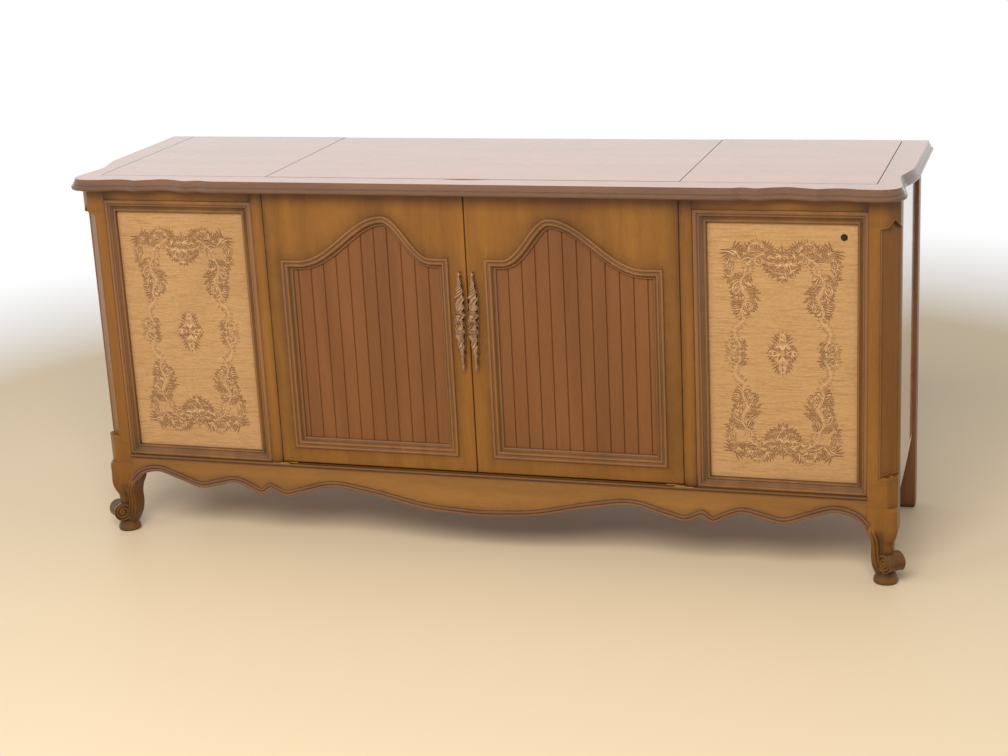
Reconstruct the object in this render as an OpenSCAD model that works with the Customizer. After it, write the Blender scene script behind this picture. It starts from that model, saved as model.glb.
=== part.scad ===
// A console stereo cabinet in the French provincial manner: a long case on
// scrolled feet with a serpentine top, two arched doors over the record store,
// a lifting lid over the record changer and tuner, and a speaker bay at each
// end. Millimetres. X runs along the front, Y towards the back, Z up from the
// floor; the origin is on the floor under the middle of the top.

/* [Case] */
// Overall width over the top moulding
top_w = 1626; // [1500:1:1760]
// Overall depth over the top moulding
top_d = 480; // [460:1:560]
// Overall height
total_h = 744; // [715:1:800]
// Thickness of the top
top_t = 22; // [19:0.5:26]
// How far the top moulding stands outside its arris
mould_out = 9; // [6:0.5:12]
// Overhang of the top past the face of the case
front_over = 35; // [31:1:42]
// Overhang of the top past the corner posts
end_over = 16; // [12:1:22]
// Thickness of the case boards
board_t = 18; // [15:1:21]
// Thickness of the face frame
face_t = 20; // [18:1:24]
// Height of the upper face of the bottom board
floor_z = 172; // [160:1:185]
// Thickness of the back panel
back_t = 4; // [3:0.5:6]
// How far the case stands in from the back edge of the top
back_set = 3; // [1:0.5:6]
// Width of the strip of top in front of the lid
front_strip = 50; // [44:1:60]
// Width of the strip of top at each end
end_strip = 50.5; // [40:0.5:60]
// Width of the seams around the lid
lid_seam = 1.5; // [1:0.1:3]

/* [Corner posts and feet] */
// Side of the square corner posts
post_w = 54; // [46:1:60]
// Cant across the outer corner of the posts
post_cant = 18; // [12:1:22]
// Cant that cuts the sunk panel into the corner
panel_cant = 34; // [26:1:38]
// Foot of the sunk panel above the floor
panel_foot_z = 200; // [190:1:230]
// Distance from the top down to the shoulders of the sunk panel
panel_drop = 54; // [40:1:80]
// Height at which the post becomes a leg
leg_z = 148; // [140:1:155]
// Radius of the scroll on the foot
scroll_r = 17.5; // [14:0.5:19]
// Length of the scroll
scroll_len = 34; // [28:1:40]
// Height of the centre of the scroll
scroll_z = 40; // [36:1:46]
// Largest radius of the turned pad
pad_r = 23; // [19:0.5:26]
// Height of the turned pad
pad_h = 22; // [18:1:26]
// Depth of the rear legs
rear_leg_d = 42; // [36:1:54]
// Thickness of the rear legs beside the end panels
rear_leg_t = 14; // [11:1:18]
// Width of the rear legs at the floor
rear_foot_w = 40; // [34:1:50]
// Set-in of the end panels from the outer faces of the posts
end_set = 12; // [9:1:16]
// Underside of the end panels above the floor
end_z = 165; // [155:1:180]

/* [Apron] */
// Depth of the apron below the case at the middle
apron_drop = 88; // [80:1:96]
// Width of the reeded bead along the apron
bead_w = 13; // [10:0.5:14]
// How far the bead stands out
bead_out = 4; // [2.5:0.25:5]
// Height of the base moulding
base_h = 6; // [5:0.5:9]
// How far the base moulding stands out
base_out = 7; // [6:0.5:9]

/* [Doors] */
// Half the width of the door opening
door_half = 406; // [380:1:430]
// Width of the stiles beside the doors
stile_w = 24; // [22:1:32]
// Half the gap where the doors meet
meet_gap = 1; // [0.8:0.1:2]
// Gap between a door and its stile
stile_gap = 0.8; // [0.6:0.1:2]
// Gap behind the doors
door_back_gap = 0.5; // [0.4:0.1:1]
// Distance from the meeting edge to the moulding
mould_in_x = 34; // [30:1:40]
// Distance from the hinge edge to the moulding
mould_out_x = 30; // [26:1:40]
// Distance from the lower edge of a door to the moulding
mould_foot = 31; // [26:1:45]
// Width of the door moulding
door_mould_w = 21; // [18:0.5:24]
// Width of the moulding that lies on the door frame
mould_seat_w = 11; // [8:0.5:12]
// How far the door moulding stands out
door_mould_out = 4; // [2:0.5:6]
// Distance from the top of a door to the outer shoulder of the arch
shoulder_out_drop = 131; // [120:1:150]
// Distance from the top of a door to the inner shoulder of the arch
shoulder_in_drop = 120; // [110:1:140]
// Distance from the top of a door to the crown of the arch
crown_drop = 41; // [36:1:60]
// Distance from the meeting edge to the crown
crown_x = 163; // [155:1:175]
// Distance from the meeting edge to the end of the inner shoulder
shoulder_in_x = 69; // [62:1:74]
// Distance from the meeting edge to the start of the outer shoulder
shoulder_out_x = 340; // [320:1:345]
// Depth of the boarded panel behind the face of the door
panel_in = 9; // [7:0.5:11]
// Thickness of the boarded panel
panel_t = 6; // [5:0.5:8]
// Width of each board of the panel
board_w = 26.6; // [22:0.2:34]
// Depth of the grooves between boards
groove_d = 2; // [1:0.25:3]
// How far the door pivots stand in front of the face
pivot_out = 4; // [3.8:0.1:6]
// Radius of the eyes of the door pivots
pivot_eye_r = 3.6; // [3:0.1:3.7]
// Radius of the door pivot pins
pivot_pin_r = 2; // [1.5:0.1:2.4]
// Thickness of the pivot plates
pivot_plate_t = 1.6; // [1.2:0.1:2.4]

/* [Pulls] */
// Length of a door pull
pull_len = 193; // [170:1:210]
// Width of the plate of a pull
pull_w = 20; // [16:1:22]
// Distance from the meeting edge to the middle of a pull
pull_x = 12; // [11:0.5:16]
// Height of the middle of the pulls
pull_z = 478; // [440:1:510]
// How far the bar of a pull stands off the door
pull_off = 11; // [10:0.5:13]
// Spacing of the two posts of a pull
pull_post_gap = 124; // [100:1:140]

/* [Speaker bays] */
// Width of the frame moulding at the top and beside the doors
frame_w = 24.5; // [20:0.5:28]
// Width of the frame moulding at the foot and beside the posts
frame_out_w = 19.5; // [16:0.5:24]
// Height of the frieze above the frames
frieze_h = 23; // [20:1:30]
// Depth of the cloth behind the face
cloth_in = 13.5; // [11:0.5:14]
// Radius of the woofers
woofer_r = 127; // [100:1:140]
// Height of the middle of the woofers above the floor of the case
woofer_up = 158; // [145:1:175]
// Depth of the middle of the horns below the top
horn_drop = 142; // [125:1:160]
// Width of the mouth of the horns
horn_w = 180; // [140:1:220]
// Height of the mouth of the horns
horn_h = 80; // [60:1:90]
// Radius of the pilot lamp
lamp_r = 6; // [4:0.5:8]

/* [Inside] */
// Depth of the motor board below the top
deck_drop = 82; // [78:1:92]
// Height of the works space, from the ceiling of the record store to the motor board
works_h = 92; // [86:1:104]
// Thickness of the motor board
deck_t = 12; // [10:1:15]
// Depth of the top rails
rail_h = 24; // [20:1:30]
// Thickness of the record dividers
divider_t = 9; // [6:1:12]

/* [Lid] */
// Radius of the knuckles of the lid hinges
knuckle_r = 4; // [3.5:0.1:5]
// Radius of the pins of the lid hinges
hinge_pin_r = 1.5; // [1.2:0.1:2]
// Length of a lid hinge
hinge_len = 90; // [60:1:120]
// Distance from the middle of the lid to each hinge
hinge_x = 280; // [200:1:320]
// Width of each leaf of a lid hinge
leaf_w = 26; // [20:1:28]
// Distance from the hinge line to each end of the lid stay
stay_r = 80; // [76:1:84]
// Angle between the two ends of the stay when the lid is closed
stay_angle = 64; // [62:1:66]
// Outer radius of the tube of the stay
stay_tube_r = 5; // [4.5:0.1:5.5]
// Radius of the rod of the stay
stay_rod_r = 3; // [2.5:0.1:3.5]

/* [Record changer] */
// Distance from the middle of the case to the spindle
changer_x = 188; // [180:1:200]
// Width of the changer plate
changer_w = 336; // [330:1:345]
// Depth of the changer plate
changer_d = 290; // [280:1:300]
// Height of the changer plate above the motor board
changer_h = 8; // [6:0.5:10]
// Radius of the platter
platter_r = 122; // [110:1:128]
// Height of the platter
platter_h = 18; // [14:1:20]
// Radius of the record spindle
spindle_r = 3.55; // [3.4:0.01:3.6]
// Height of the spindle above the platter
spindle_h = 34; // [25:1:36]
// Distance from the spindle across to the arm pivot
arm_x = 146; // [142:1:148]
// Distance from the spindle back to the arm pivot
arm_y = 95; // [90:1:100]
// Length of the tone arm from its pivot to the stylus
arm_len = 200; // [196:1:204]

/* [Tuner] */
// Distance from the middle of the case to the middle of the tuner panel
tuner_x = 205; // [200:1:215]
// Width of the tuner panel
tuner_w = 330; // [320:1:350]
// Depth of the tuner panel
tuner_d = 220; // [210:1:240]
// Height of the tuner panel above the motor board
tuner_h = 16; // [14:1:20]
// Thickness of the tuner panel
tuner_t = 3; // [2:0.5:4]
// Width of the dial window
dial_w = 250; // [240:1:270]
// Depth of the dial window
dial_d = 56; // [50:1:64]
// Spacing of the row of knobs
knob_gap = 93; // [80:1:100]
// Radius of the knobs
knob_r = 13; // [10:0.5:16]
// Height of the knobs
knob_h = 16; // [12:1:20]

/* [Fits] */
// Radial clearance of the running fits
run_fit = 0.05; // [0.02:0.01:0.09]
// Clearance around pieces that drop in
drop_fit = 0.3; // [0.2:0.05:0.6]

/* [Hidden] */
$fn = 48;

// Levels and planes that the pieces share
front_y = -top_d / 2 + front_over;
back_y = top_d / 2;
case_back = back_y - back_set;
rail_back = case_back - 3;
panel_y = rail_back - back_t;
post_x = top_w / 2 - end_over;
post_in = post_x - post_w;
under_top = total_h - top_t;
end_out = post_x - end_set;
end_in = end_out - board_t;
strip_y = -top_d / 2 + mould_out + front_strip;
strip_x = top_w / 2 - mould_out - end_strip;
lid_half = door_half - 2;
face_back = front_y + face_t;
board_back = panel_y;
stile_out = door_half + stile_w;
partition_in = door_half + (stile_w - board_t) / 2;
partition_out = partition_in + board_t;
rail_z = under_top - rail_h;
back_rail_z = under_top - rail_h - 6;
deck_z = under_top - deck_drop;
ceiling_top = deck_z - works_h;
store_top = ceiling_top - board_t;

// Thickness of a glued joint between lengths of moulding
glue_line = 0.1;

wood = "#8a5a2b";
dark_wood = "#5f3a1c";
board_wood = "#7a3f22";
top_wood = "#9a6a4c";
brass = "#8c7a4f";
steel = "#9aa0a4";
black = "#1d1b1a";
cloth = "#c9a468";

// A half wave from 0 to 1
function ease(t) = (1 - cos(180 * t)) / 2;
function unit(v) = v / norm(v);
function left_of(v) = [-v[1], v[0]];
function reversed(p) = [for (i = [len(p) - 1:-1:0]) p[i]];
function flipped(p) = [for (q = reversed(p)) [-q[0], q[1]]];

// Slope of a smooth curve at one of its knots
function slope(k, i) =
  i == 0 ? unit(k[1] - k[0]) :
  i == len(k) - 1 ? unit(k[i] - k[i - 1]) :
  let (a = norm(k[i] - k[i - 1]), b = norm(k[i + 1] - k[i]))
  ((k[i + 1] - k[i]) * a / b + (k[i] - k[i - 1]) * b / a) / (a + b);

// Point of the cubic from p with slope m to q with slope n
function cubic(p, q, m, n, t) =
  let (d = norm(q - p))
  (2 * t ^ 3 - 3 * t ^ 2 + 1) * p + (t ^ 3 - 2 * t ^ 2 + t) * d * m
  + (3 * t ^ 2 - 2 * t ^ 3) * q + (t ^ 3 - t ^ 2) * d * n;

// Smooth curve through a list of knots
function smooth(k, steps) = concat(
  [for (i = [0:len(k) - 2]) for (j = [0:steps - 1])
    cubic(k[i], k[i + 1], slope(k, i), slope(k, i + 1), j / steps)],
  [k[len(k) - 1]]);

// Step to the left of a path at point i that keeps mitred corners square
function mitre(p, i, loop) =
  let (n = len(p),
       a = (i == 0 && !loop) ? p[1] - p[0] : p[i] - p[(i + n - 1) % n],
       b = (i == n - 1 && !loop) ? p[i] - p[i - 1] : p[(i + 1) % n] - p[i],
       na = left_of(unit(a)), nb = left_of(unit(b)))
  (na + nb) / (1 + na * nb);
function shifted(p, d, loop) = [for (i = [0:len(p) - 1]) p[i] + mitre(p, i, loop) * d];

// Skin around rings of equal length; closed rings in a row, or a loop of rings
module skin(rings, loop) {
  m = len(rings);
  n = len(rings[0]);
  rows = loop ? m : m - 1;
  sides = [for (r = [0:rows - 1]) for (i = [0:n - 1])
    let (s = (r + 1) % m, j = (i + 1) % n)
    each [[r * n + i, s * n + i, s * n + j], [r * n + i, s * n + j, r * n + j]]];
  caps = loop ? [] : [[for (i = [0:n - 1]) i], [for (i = [n - 1:-1:0]) (m - 1) * n + i]];
  polyhedron(points = [for (r = rings) each r], faces = concat(sides, caps));
}

// Both hands of a module: the right one as drawn and its mirror image
module both() {
  children();
  mirror([1, 0, 0]) children();
}
module board(low, high) {
  translate(low) cube(high - low);
}
// Outline in X and Z, given thickness from y backwards
module upright(y, t) {
  translate([0, y + t, 0]) rotate([90, 0, 0]) linear_extrude(t) children();
}
module rounded_plate(w, d, r, t) {
  linear_extrude(t) {
    square([w - 2 * r, d], center = true);
    square([w, d - 2 * r], center = true);
    for (x = [-1, 1])
      for (y = [-1, 1])
        translate([x * (w / 2 - r), y * (d / 2 - r)]) circle(r);
  }
}

// Top: the edge wanders in and out between the straight front and the ends
// Knots are the distances from the end arris and from the front arris
wave_knots = [[300, 0], [280, 7], [254, 0.4], [226, 10], [200, 15], [172, 8], [147, 0]];
corner_knots = [[147, 0], [125, 7], [103, 9], [79, 3], [56, 0.5], [33, 1.2], [14, 10],
  [5, 27], [6, 46], [13, 88], [16, 123], [9, 152], [2, 185], [0, 205]];
arris_x = top_w / 2 - mould_out;
arris_y = -top_d / 2 + mould_out;
function at_corner(k) = [for (p = k) [arris_x - p[0], arris_y + p[1]]];
joint_x = arris_x - wave_knots[len(wave_knots) - 1][0];
wave_path = smooth(at_corner(wave_knots), 4);
corner_path = concat(smooth(at_corner(corner_knots), 4), [[arris_x, back_y]]);
middle_path = concat(flipped(wave_path), wave_path);

// Section of the moulding: share of the thickness, share of the overhang
top_section = [[0, 0.45], [0.06, 0.82], [0.18, 1], [0.32, 0.97], [0.41, 0.78], [0.44, 0.56],
  [0.54, 0.5], [0.68, 0.33], [0.82, 0.12], [0.93, 0.04], [1, 0]];
// The ends of a length stay in the plane of its joint
function edge_line(path, out, first, last) =
  let (p = shifted(path, -out, false), n = len(p))
  concat([path[0] + first * out], [for (i = [1:n - 2]) p[i]], [path[n - 1] + last * out]);
// Length of moulding along a path; its back stands inside the arris
moulding_in = 8;
module edge_moulding(path, first, last) {
  section = concat([[0, -moulding_in], [1, -moulding_in]],
    [for (s = reversed(top_section)) [s[0], s[1] * mould_out]]);
  lines = [for (s = section) edge_line(path, s[1], first, last)];
  skin([for (i = [0:len(path) - 1]) [for (k = [0:len(section) - 1])
    [lines[k][i][0], lines[k][i][1], under_top + section[k][0] * top_t]]], false);
}
// The middle strip has a finger scoop in its upper back edge, in front of the lid
module top_front_edge() {
  scoop_half = 46;
  scoop_in = 7;
  scoop_deep = 12;
  scoop_r = (scoop_half ^ 2 + scoop_in ^ 2) / (2 * scoop_in);
  color(top_wood) {
    edge_moulding(middle_path, [0, -1], [0, -1]);
    difference() {
      translate([0, 0, under_top]) linear_extrude(top_t)
        polygon(concat(edge_line(middle_path, -moulding_in - glue_line, [0, -1], [0, -1]),
          [[joint_x, strip_y], [-joint_x, strip_y]]));
      translate([0, strip_y + scoop_r - scoop_in, total_h - scoop_deep])
        cylinder(r = scoop_r, h = top_t, $fn = 96);
    }
  }
}
module top_corner() {
  edge_moulding(corner_path, [0, -1], [1, 0]);
  translate([0, 0, under_top]) linear_extrude(top_t)
    polygon(concat(edge_line(corner_path, -moulding_in - glue_line, [0, -1], [1, 0]),
      [[strip_x, back_y], [strip_x, strip_y], [joint_x, strip_y]]));
}
module top_corner_right() {
  color(top_wood) top_corner();
}
module top_corner_left() {
  color(top_wood) mirror([1, 0, 0]) top_corner();
}
module top_panels() {
  color(top_wood) both()
    board([lid_half, strip_y, under_top], [strip_x, back_y, total_h]);
}

// Corner posts: sawn cabriole leg, scroll and pad in one with the post
// Knots run from the outer corner inwards and up from the floor
pad_at = 21;
scroll_at = 10;
leg_outer = [[0, leg_z], [0, 100], [3, 87], [7, 76], [7.5, 62], [6, 48], [6, 30], [8, 16]];
leg_inner = [[40, 16], [45, 31], [47, 44], [47.5, 58], [47, 73], [49, 91], [post_w, 107],
  [post_w, leg_z]];
module leg_profile() {
  polygon(concat(smooth(leg_inner, 4), [[0, leg_z]], smooth([for (i = [1:7]) leg_outer[i]], 4)));
}
module front_leg() {
  shoulder = post_cant / 2;
  difference() {
    translate([0, 0, leg_z]) linear_extrude(under_top - leg_z)
      polygon([[post_cant, 0], [post_w, 0], [post_w, post_w], [0, post_w], [0, post_cant]]);
    sunk_panel();
  }
  intersection() {
    translate([0, post_w, 0]) rotate([90, 0, 0]) linear_extrude(post_w) leg_profile();
    rotate([90, 0, 90]) linear_extrude(post_w) leg_profile();
  }
  foot_scroll();
  translate([pad_at, pad_at, 0]) rotate_extrude()
    polygon([[0, 0], [pad_r - 2, 0], [pad_r, 5], [pad_r - 0.5, 9], [pad_r - 3, 15],
      [pad_r - 5.5, 19], [pad_r - 5.5, pad_h], [0, pad_h]]);
}
// Long panel sunk across the corner, pointed at the head and bracketed below
module sunk_panel() {
  half = panel_cant / sqrt(2);
  head_z = under_top - panel_drop;
  foot_arc = smooth([[-half, panel_foot_z], [-half * 0.6, panel_foot_z + 9],
    [0, panel_foot_z + 12], [half * 0.6, panel_foot_z + 9], [half, panel_foot_z]], 4);
  head_arc = smooth([[half, head_z], [half * 0.55, head_z + 4], [half * 0.2, head_z + 12],
    [0, head_z + 16]], 4);
  translate([panel_cant / 2, panel_cant / 2, 0]) rotate([0, 0, -45])
    rotate([90, 0, 0]) linear_extrude(post_w)
      polygon(concat(foot_arc, head_arc, [for (i = [len(head_arc) - 2:-1:0])
        [-head_arc[i][0], head_arc[i][1]]]));
}
module foot_scroll() {
  eye = 5;
  groove_w = 4;
  translate([scroll_at, scroll_at, scroll_z]) rotate([0, 0, -45]) rotate([0, 90, 0]) difference() {
    union() {
      cylinder(r = scroll_r, h = scroll_len, center = true);
      cylinder(r = eye, h = scroll_len + 3, center = true);
    }
    for (s = [-1, 1])
      translate([0, 0, s * scroll_len / 2]) difference() {
        cylinder(r = scroll_r - groove_w, h = 3, center = true);
        cylinder(r = scroll_r - 2 * groove_w, h = 3, center = true);
      }
  }
}
module front_leg_right() {
  color(wood) translate([post_x, front_y, 0]) mirror([1, 0, 0]) front_leg();
}
module front_leg_left() {
  color(wood) translate([-post_x, front_y, 0]) front_leg();
}
module rear_legs() {
  // Plain above the end panel; below it the leg widens inwards to a rounded foot
  outer = end_out + rear_leg_t;
  inner = outer - rear_foot_w;
  foot_z = 20;
  color(dark_wood) both() upright(case_back - rear_leg_d, rear_leg_d)
    polygon(concat([[outer, under_top], [end_out, under_top], [end_out, end_z]],
      [for (t = [0.25:0.25:1])
        [end_out + (inner - end_out) * t ^ 1.2, end_z + (foot_z - end_z) * t]],
      [[inner + 3, 4], [inner + 8, 0], [outer - 6, 0], [outer - 1, 5], [outer, foot_z - 2]]));
}
module end_panels() {
  color(top_wood) both()
    board([end_in, front_y + post_w, end_z], [end_out, case_back, under_top]);
}

// Apron: knots are distances from the post and below the case
function at_post(k) = [for (p = k) [post_in - p[0], floor_z - p[1]]];
apron_lobes = smooth(concat([[0, floor_z - apron_drop]],
  at_post([[639, 81], [512, 55], [440, 46], [369, 64], [338, 71], [305, 59]])), 4);
apron_ears = smooth(at_post([[305, 59], [286, 70], [260, 60], [231, 49], [193, 56],
  [153, 64], [103, 48], [55, 34.5], [21, 44], [0, 65]]), 4);
apron_half = concat(apron_lobes, [for (i = [1:len(apron_ears) - 1]) apron_ears[i]]);
apron_line = concat(flipped(apron_half), [for (i = [1:len(apron_half) - 1]) apron_half[i]]);

module apron() {
  color(wood) upright(front_y, face_t)
    polygon(concat(apron_line, [[post_in, floor_z], [-post_in, floor_z]]));
}
// Two reeds side by side: distance from the edge, height above the face
bead_section = [[0, 0], [0, 0.6], [0.12, 1], [0.34, 1], [0.46, 0.55], [0.52, 0.55],
  [0.64, 0.85], [0.8, 0.85], [0.95, 0.4], [1, 0]];
module apron_bead() {
  last = len(apron_line) - 1;
  lines = [for (s = bead_section) shifted(apron_line, s[0] * bead_w, false)];
  color(dark_wood) skin([for (i = [0:last]) [for (k = [len(bead_section) - 1:-1:0])
    [i == 0 ? -post_in : i == last ? post_in : lines[k][i][0],
      front_y - bead_section[k][1] * bead_out, lines[k][i][1]]]], false);
}
module base_moulding() {
  color(dark_wood) rotate([90, 0, 90]) translate([0, 0, -post_in])
    linear_extrude(2 * post_in) difference() {
      translate([front_y - base_out, floor_z - base_h]) square([base_out, base_h]);
      translate([front_y - base_out, floor_z - base_h]) circle(base_h / 2, $fn = 32);
    }
}

// Face frame
module door_stiles() {
  color(wood) both()
    board([door_half, front_y, floor_z], [stile_out, face_back, under_top]);
}
module friezes() {
  color(wood) both() board([stile_out, front_y, under_top - frieze_h],
    [post_in, face_back, under_top]);
}

// Speaker frames: four mitred lengths of moulding
// Section: share of the width from the outer edge, share of the depth
frame_section = [[0, 1], [0, 0.12], [0.1, 0], [0.26, 0], [0.36, 0.16], [0.42, 0.16],
  [0.5, 0.3], [0.62, 0.52], [0.76, 0.62], [0.8, 0.5], [0.92, 0.5], [1, 0.62], [1, 1]];
frame_foot = floor_z;
frame_head = under_top - frieze_h;
cloth_x = [stile_out + frame_w, post_in - frame_out_w];
cloth_z = [frame_foot + frame_out_w, frame_head - frame_w];
module frame_length(a, b, corner_a, corner_b) {
  // One length between two outer corners a and b; the inner corners bound the mitres
  gap = unit(b - a) * glue_line / 2;
  rings = [for (end = [[a + gap, corner_a + gap], [b - gap, corner_b - gap]])
    [for (s = reversed(frame_section)) let (p = end[0] + (end[1] - end[0]) * s[0])
      [p[0], front_y + s[1] * cloth_in, p[1]]]];
  skin(rings, false);
}
module speaker_frame() {
  outer = [[stile_out, frame_foot], [post_in, frame_foot], [post_in, frame_head],
    [stile_out, frame_head]];
  inner = [[cloth_x[0], cloth_z[0]], [cloth_x[1], cloth_z[0]], [cloth_x[1], cloth_z[1]],
    [cloth_x[0], cloth_z[1]]];
  for (i = [0:3])
    frame_length(outer[i], outer[(i + 1) % 4], inner[i], inner[(i + 1) % 4]);
}
module speaker_frame_right() {
  color(dark_wood) speaker_frame();
}
module speaker_frame_left() {
  color(dark_wood) mirror([1, 0, 0]) speaker_frame();
}
module grille() {
  board([stile_out + 1, front_y + cloth_in, frame_foot + 1],
    [post_in - 1, face_back, frame_head - 1]);
}
lamp_x = cloth_x[1] - 24.5;
lamp_z = cloth_z[1] - 24.5;
module grille_right() {
  color(cloth) difference() {
    grille();
    translate([lamp_x, face_back + 1, lamp_z]) rotate([90, 0, 0])
      cylinder(r = lamp_r + drop_fit, h = face_t);
  }
}
module grille_left() {
  color(cloth) mirror([1, 0, 0]) grille();
}
module pilot_lamp() {
  color(black) translate([lamp_x, face_back, lamp_z]) rotate([90, 0, 0]) {
    cylinder(r = lamp_r, h = face_t - cloth_in + 4);
    translate([0, 0, face_t - cloth_in]) cylinder(r = lamp_r + 1.5, h = 1.5);
    translate([0, 0, face_t - cloth_in + 4]) sphere(lamp_r - 2.5);
  }
}
speaker_x = (partition_out + post_in) / 2;
woofer_z = floor_z + woofer_up;
horn_z = under_top - horn_drop;
module baffles() {
  color(board_wood) both() difference() {
    board([partition_out, face_back, floor_z], [post_in, face_back + board_t, rail_z]);
    translate([speaker_x, face_back + board_t + 1, woofer_z]) rotate([90, 0, 0])
      cylinder(r = woofer_r - 15, h = board_t + 2, $fn = 96);
    translate([speaker_x, face_back + board_t / 2, horn_z])
      cube([horn_w - 16, board_t + 2, horn_h - 16], center = true);
  }
}
// Woofers with their baskets, cones and magnets, and the horns above them
module speakers() {
  cone_d = 60;
  color(black) both() translate([speaker_x, face_back + board_t, 0]) {
    translate([0, 0, woofer_z]) rotate([-90, 0, 0]) rotate_extrude($fn = 96)
      polygon([[woofer_r, 0], [woofer_r - 14, 0], [woofer_r - 20, 4], [26, cone_d],
        [0, cone_d - 8], [0, 104], [52, 104], [52, 70], [44, 66], [woofer_r - 14, 6],
        [woofer_r, 4]]);
    translate([0, 0, horn_z]) difference() {
      union() {
        translate([-horn_w / 2, 0, -horn_h / 2]) cube([horn_w, 3, horn_h]);
        horn_flare(0);
        translate([0, 66, 0]) rotate([-90, 0, 0]) cylinder(r = 30, h = 34);
      }
      translate([0, -0.1, 0]) horn_flare(3);
    }
  }
}
module horn_flare(wall) {
  w = horn_w - 20 - 2 * wall;
  h = horn_h - 20 - 2 * wall;
  throat = 22 - wall;
  skin([[[-w / 2, 0, -h / 2], [-w / 2, 0, h / 2], [w / 2, 0, h / 2], [w / 2, 0, -h / 2]],
    [[-throat, 66, -throat], [-throat, 66, throat], [throat, 66, throat],
      [throat, 66, -throat]]], false);
}

// Case boards
module partitions() {
  color(board_wood) both() translate([partition_in, 0, 0]) rotate([90, 0, 90])
    linear_extrude(board_t) polygon([[face_back, floor_z], [board_back, floor_z],
      [board_back, back_rail_z], [back_rail_y, back_rail_z], [back_rail_y, under_top],
      [face_back + board_t, under_top], [face_back + board_t, rail_z], [face_back, rail_z]]);
}
back_rail_y = rail_back - board_t;
module bottom_board() {
  color(board_wood) difference() {
    board([-end_in, face_back, floor_z - board_t], [end_in, board_back, floor_z]);
    both() board([post_in, face_back - 1, floor_z - board_t - 1],
      [post_x, front_y + post_w, floor_z + 1]);
  }
}
module storage_ceiling() {
  color(board_wood)
    board([-partition_in, face_back, store_top], [partition_in, board_back, ceiling_top]);
}
module fascia() {
  color(wood) board([-partition_in, face_back, ceiling_top],
    [partition_in, face_back + board_t, rail_z]);
}
module motor_board() {
  color(board_wood) difference() {
    board([-partition_in, face_back + board_t, deck_z - deck_t],
      [partition_in, board_back, deck_z]);
    translate([changer_x, 0, deck_z]) cube([changer_w - 50, changer_d - 50, 50], center = true);
    translate([-tuner_x, 0, deck_z]) cube([tuner_w - 30, tuner_d - 30, 50], center = true);
  }
}
module top_rails() {
  color(board_wood) {
    board([-post_in, face_back, rail_z], [post_in, face_back + board_t, under_top]);
    difference() {
      board([-end_in, back_rail_y, back_rail_z], [end_in, rail_back, under_top]);
      lid_hinge_room();
    }
  }
}
module back_panel() {
  vent_w = 60;
  color("#4a3424") difference() {
    board([-end_in, panel_y, floor_z - board_t], [end_in, panel_y + back_t, back_rail_z - 1]);
    for (x = [-4:4])
      for (k = [0:3])
        translate([x * 80, panel_y, ceiling_top + 22 + k * 18])
          cube([vent_w, 4 * back_t, 6], center = true);
    translate([inlet_x, panel_y - 1, inlet_z]) rotate([-90, 0, 0])
      cylinder(r = inlet_r + drop_fit, h = back_t + 2);
  }
}
inlet_x = -partition_out - 60;
inlet_z = floor_z + 60;
inlet_r = 11;
module mains_inlet() {
  color(black) translate([inlet_x, panel_y + back_t, inlet_z]) rotate([90, 0, 0]) difference() {
    union() {
      cylinder(r = inlet_r, h = 26);
      translate([0, 0, -2]) cylinder(r = inlet_r + 4, h = 2);
    }
    translate([0, 0, -3]) cylinder(r = inlet_r - 5, h = 30);
  }
}
module back_screws() {
  head_r = 4;
  rows = [floor_z - board_t / 2, store_top + board_t / 2];
  color(steel) both() for (z = rows)
    for (x = [end_in - 40, speaker_x, partition_in - 60, 60])
      if (z < floor_z || x < partition_in)
        translate([x, panel_y + back_t, z]) rotate([-90, 0, 0])
          rotate_extrude() polygon([[0, 0], [head_r, 0], [head_r - 0.6, 1.4], [0, 2.2]]);
}
module record_dividers() {
  color(board_wood) both() board([partition_in / 3 - divider_t / 2, face_back + 20, floor_z],
    [partition_in / 3 + divider_t / 2, board_back, store_top]);
}

// Door pivots: a plate with a pin on the case, a plate with an eye on the door
pivot_x = door_half + 0.5;
pivot_y = front_y - pivot_out;
plate_gap = 0.3;
door_gap = 2 * pivot_plate_t + plate_gap;
door_foot = floor_z + door_gap;
door_head = under_top - door_gap;
catch_w = 30;
catch_h = 12;
module pivot_pin_plate() {
  cylinder(r = pivot_pin_r, h = door_gap);
  translate([-18, -pivot_eye_r, 0]) cube([36, 2 * pivot_eye_r, pivot_plate_t]);
}
module door_fittings() {
  color(brass) both() {
    translate([pivot_x, pivot_y, floor_z]) pivot_pin_plate();
    translate([pivot_x, pivot_y, under_top]) mirror([0, 0, 1]) pivot_pin_plate();
    board([8, face_back + 1, store_top - catch_h], [8 + catch_w, face_back + 22, store_top]);
  }
}
module pivot_eye_plate() {
  linear_extrude(pivot_plate_t) difference() {
    union() {
      circle(pivot_eye_r);
      translate([-14, -pivot_eye_r]) square([14 - stile_gap - 0.6, 2 * pivot_eye_r]);
      translate([-34, 0]) square([34 - stile_gap - 0.6, pivot_out + door_t - 4]);
    }
    circle(pivot_pin_r + run_fit);
  }
}
door_t = face_t - door_back_gap;
module door_ironwork() {
  translate([pivot_x, pivot_y, floor_z + pivot_plate_t + plate_gap]) pivot_eye_plate();
  translate([pivot_x, pivot_y, door_head]) pivot_eye_plate();
  board([9, front_y + door_t, store_top - catch_h + 1],
    [7 + catch_w, front_y + door_t + 1.2, store_top - 1]);
}
module door_ironwork_right() {
  color(brass) door_ironwork();
}
module door_ironwork_left() {
  color(brass) mirror([1, 0, 0]) door_ironwork();
}

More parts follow.
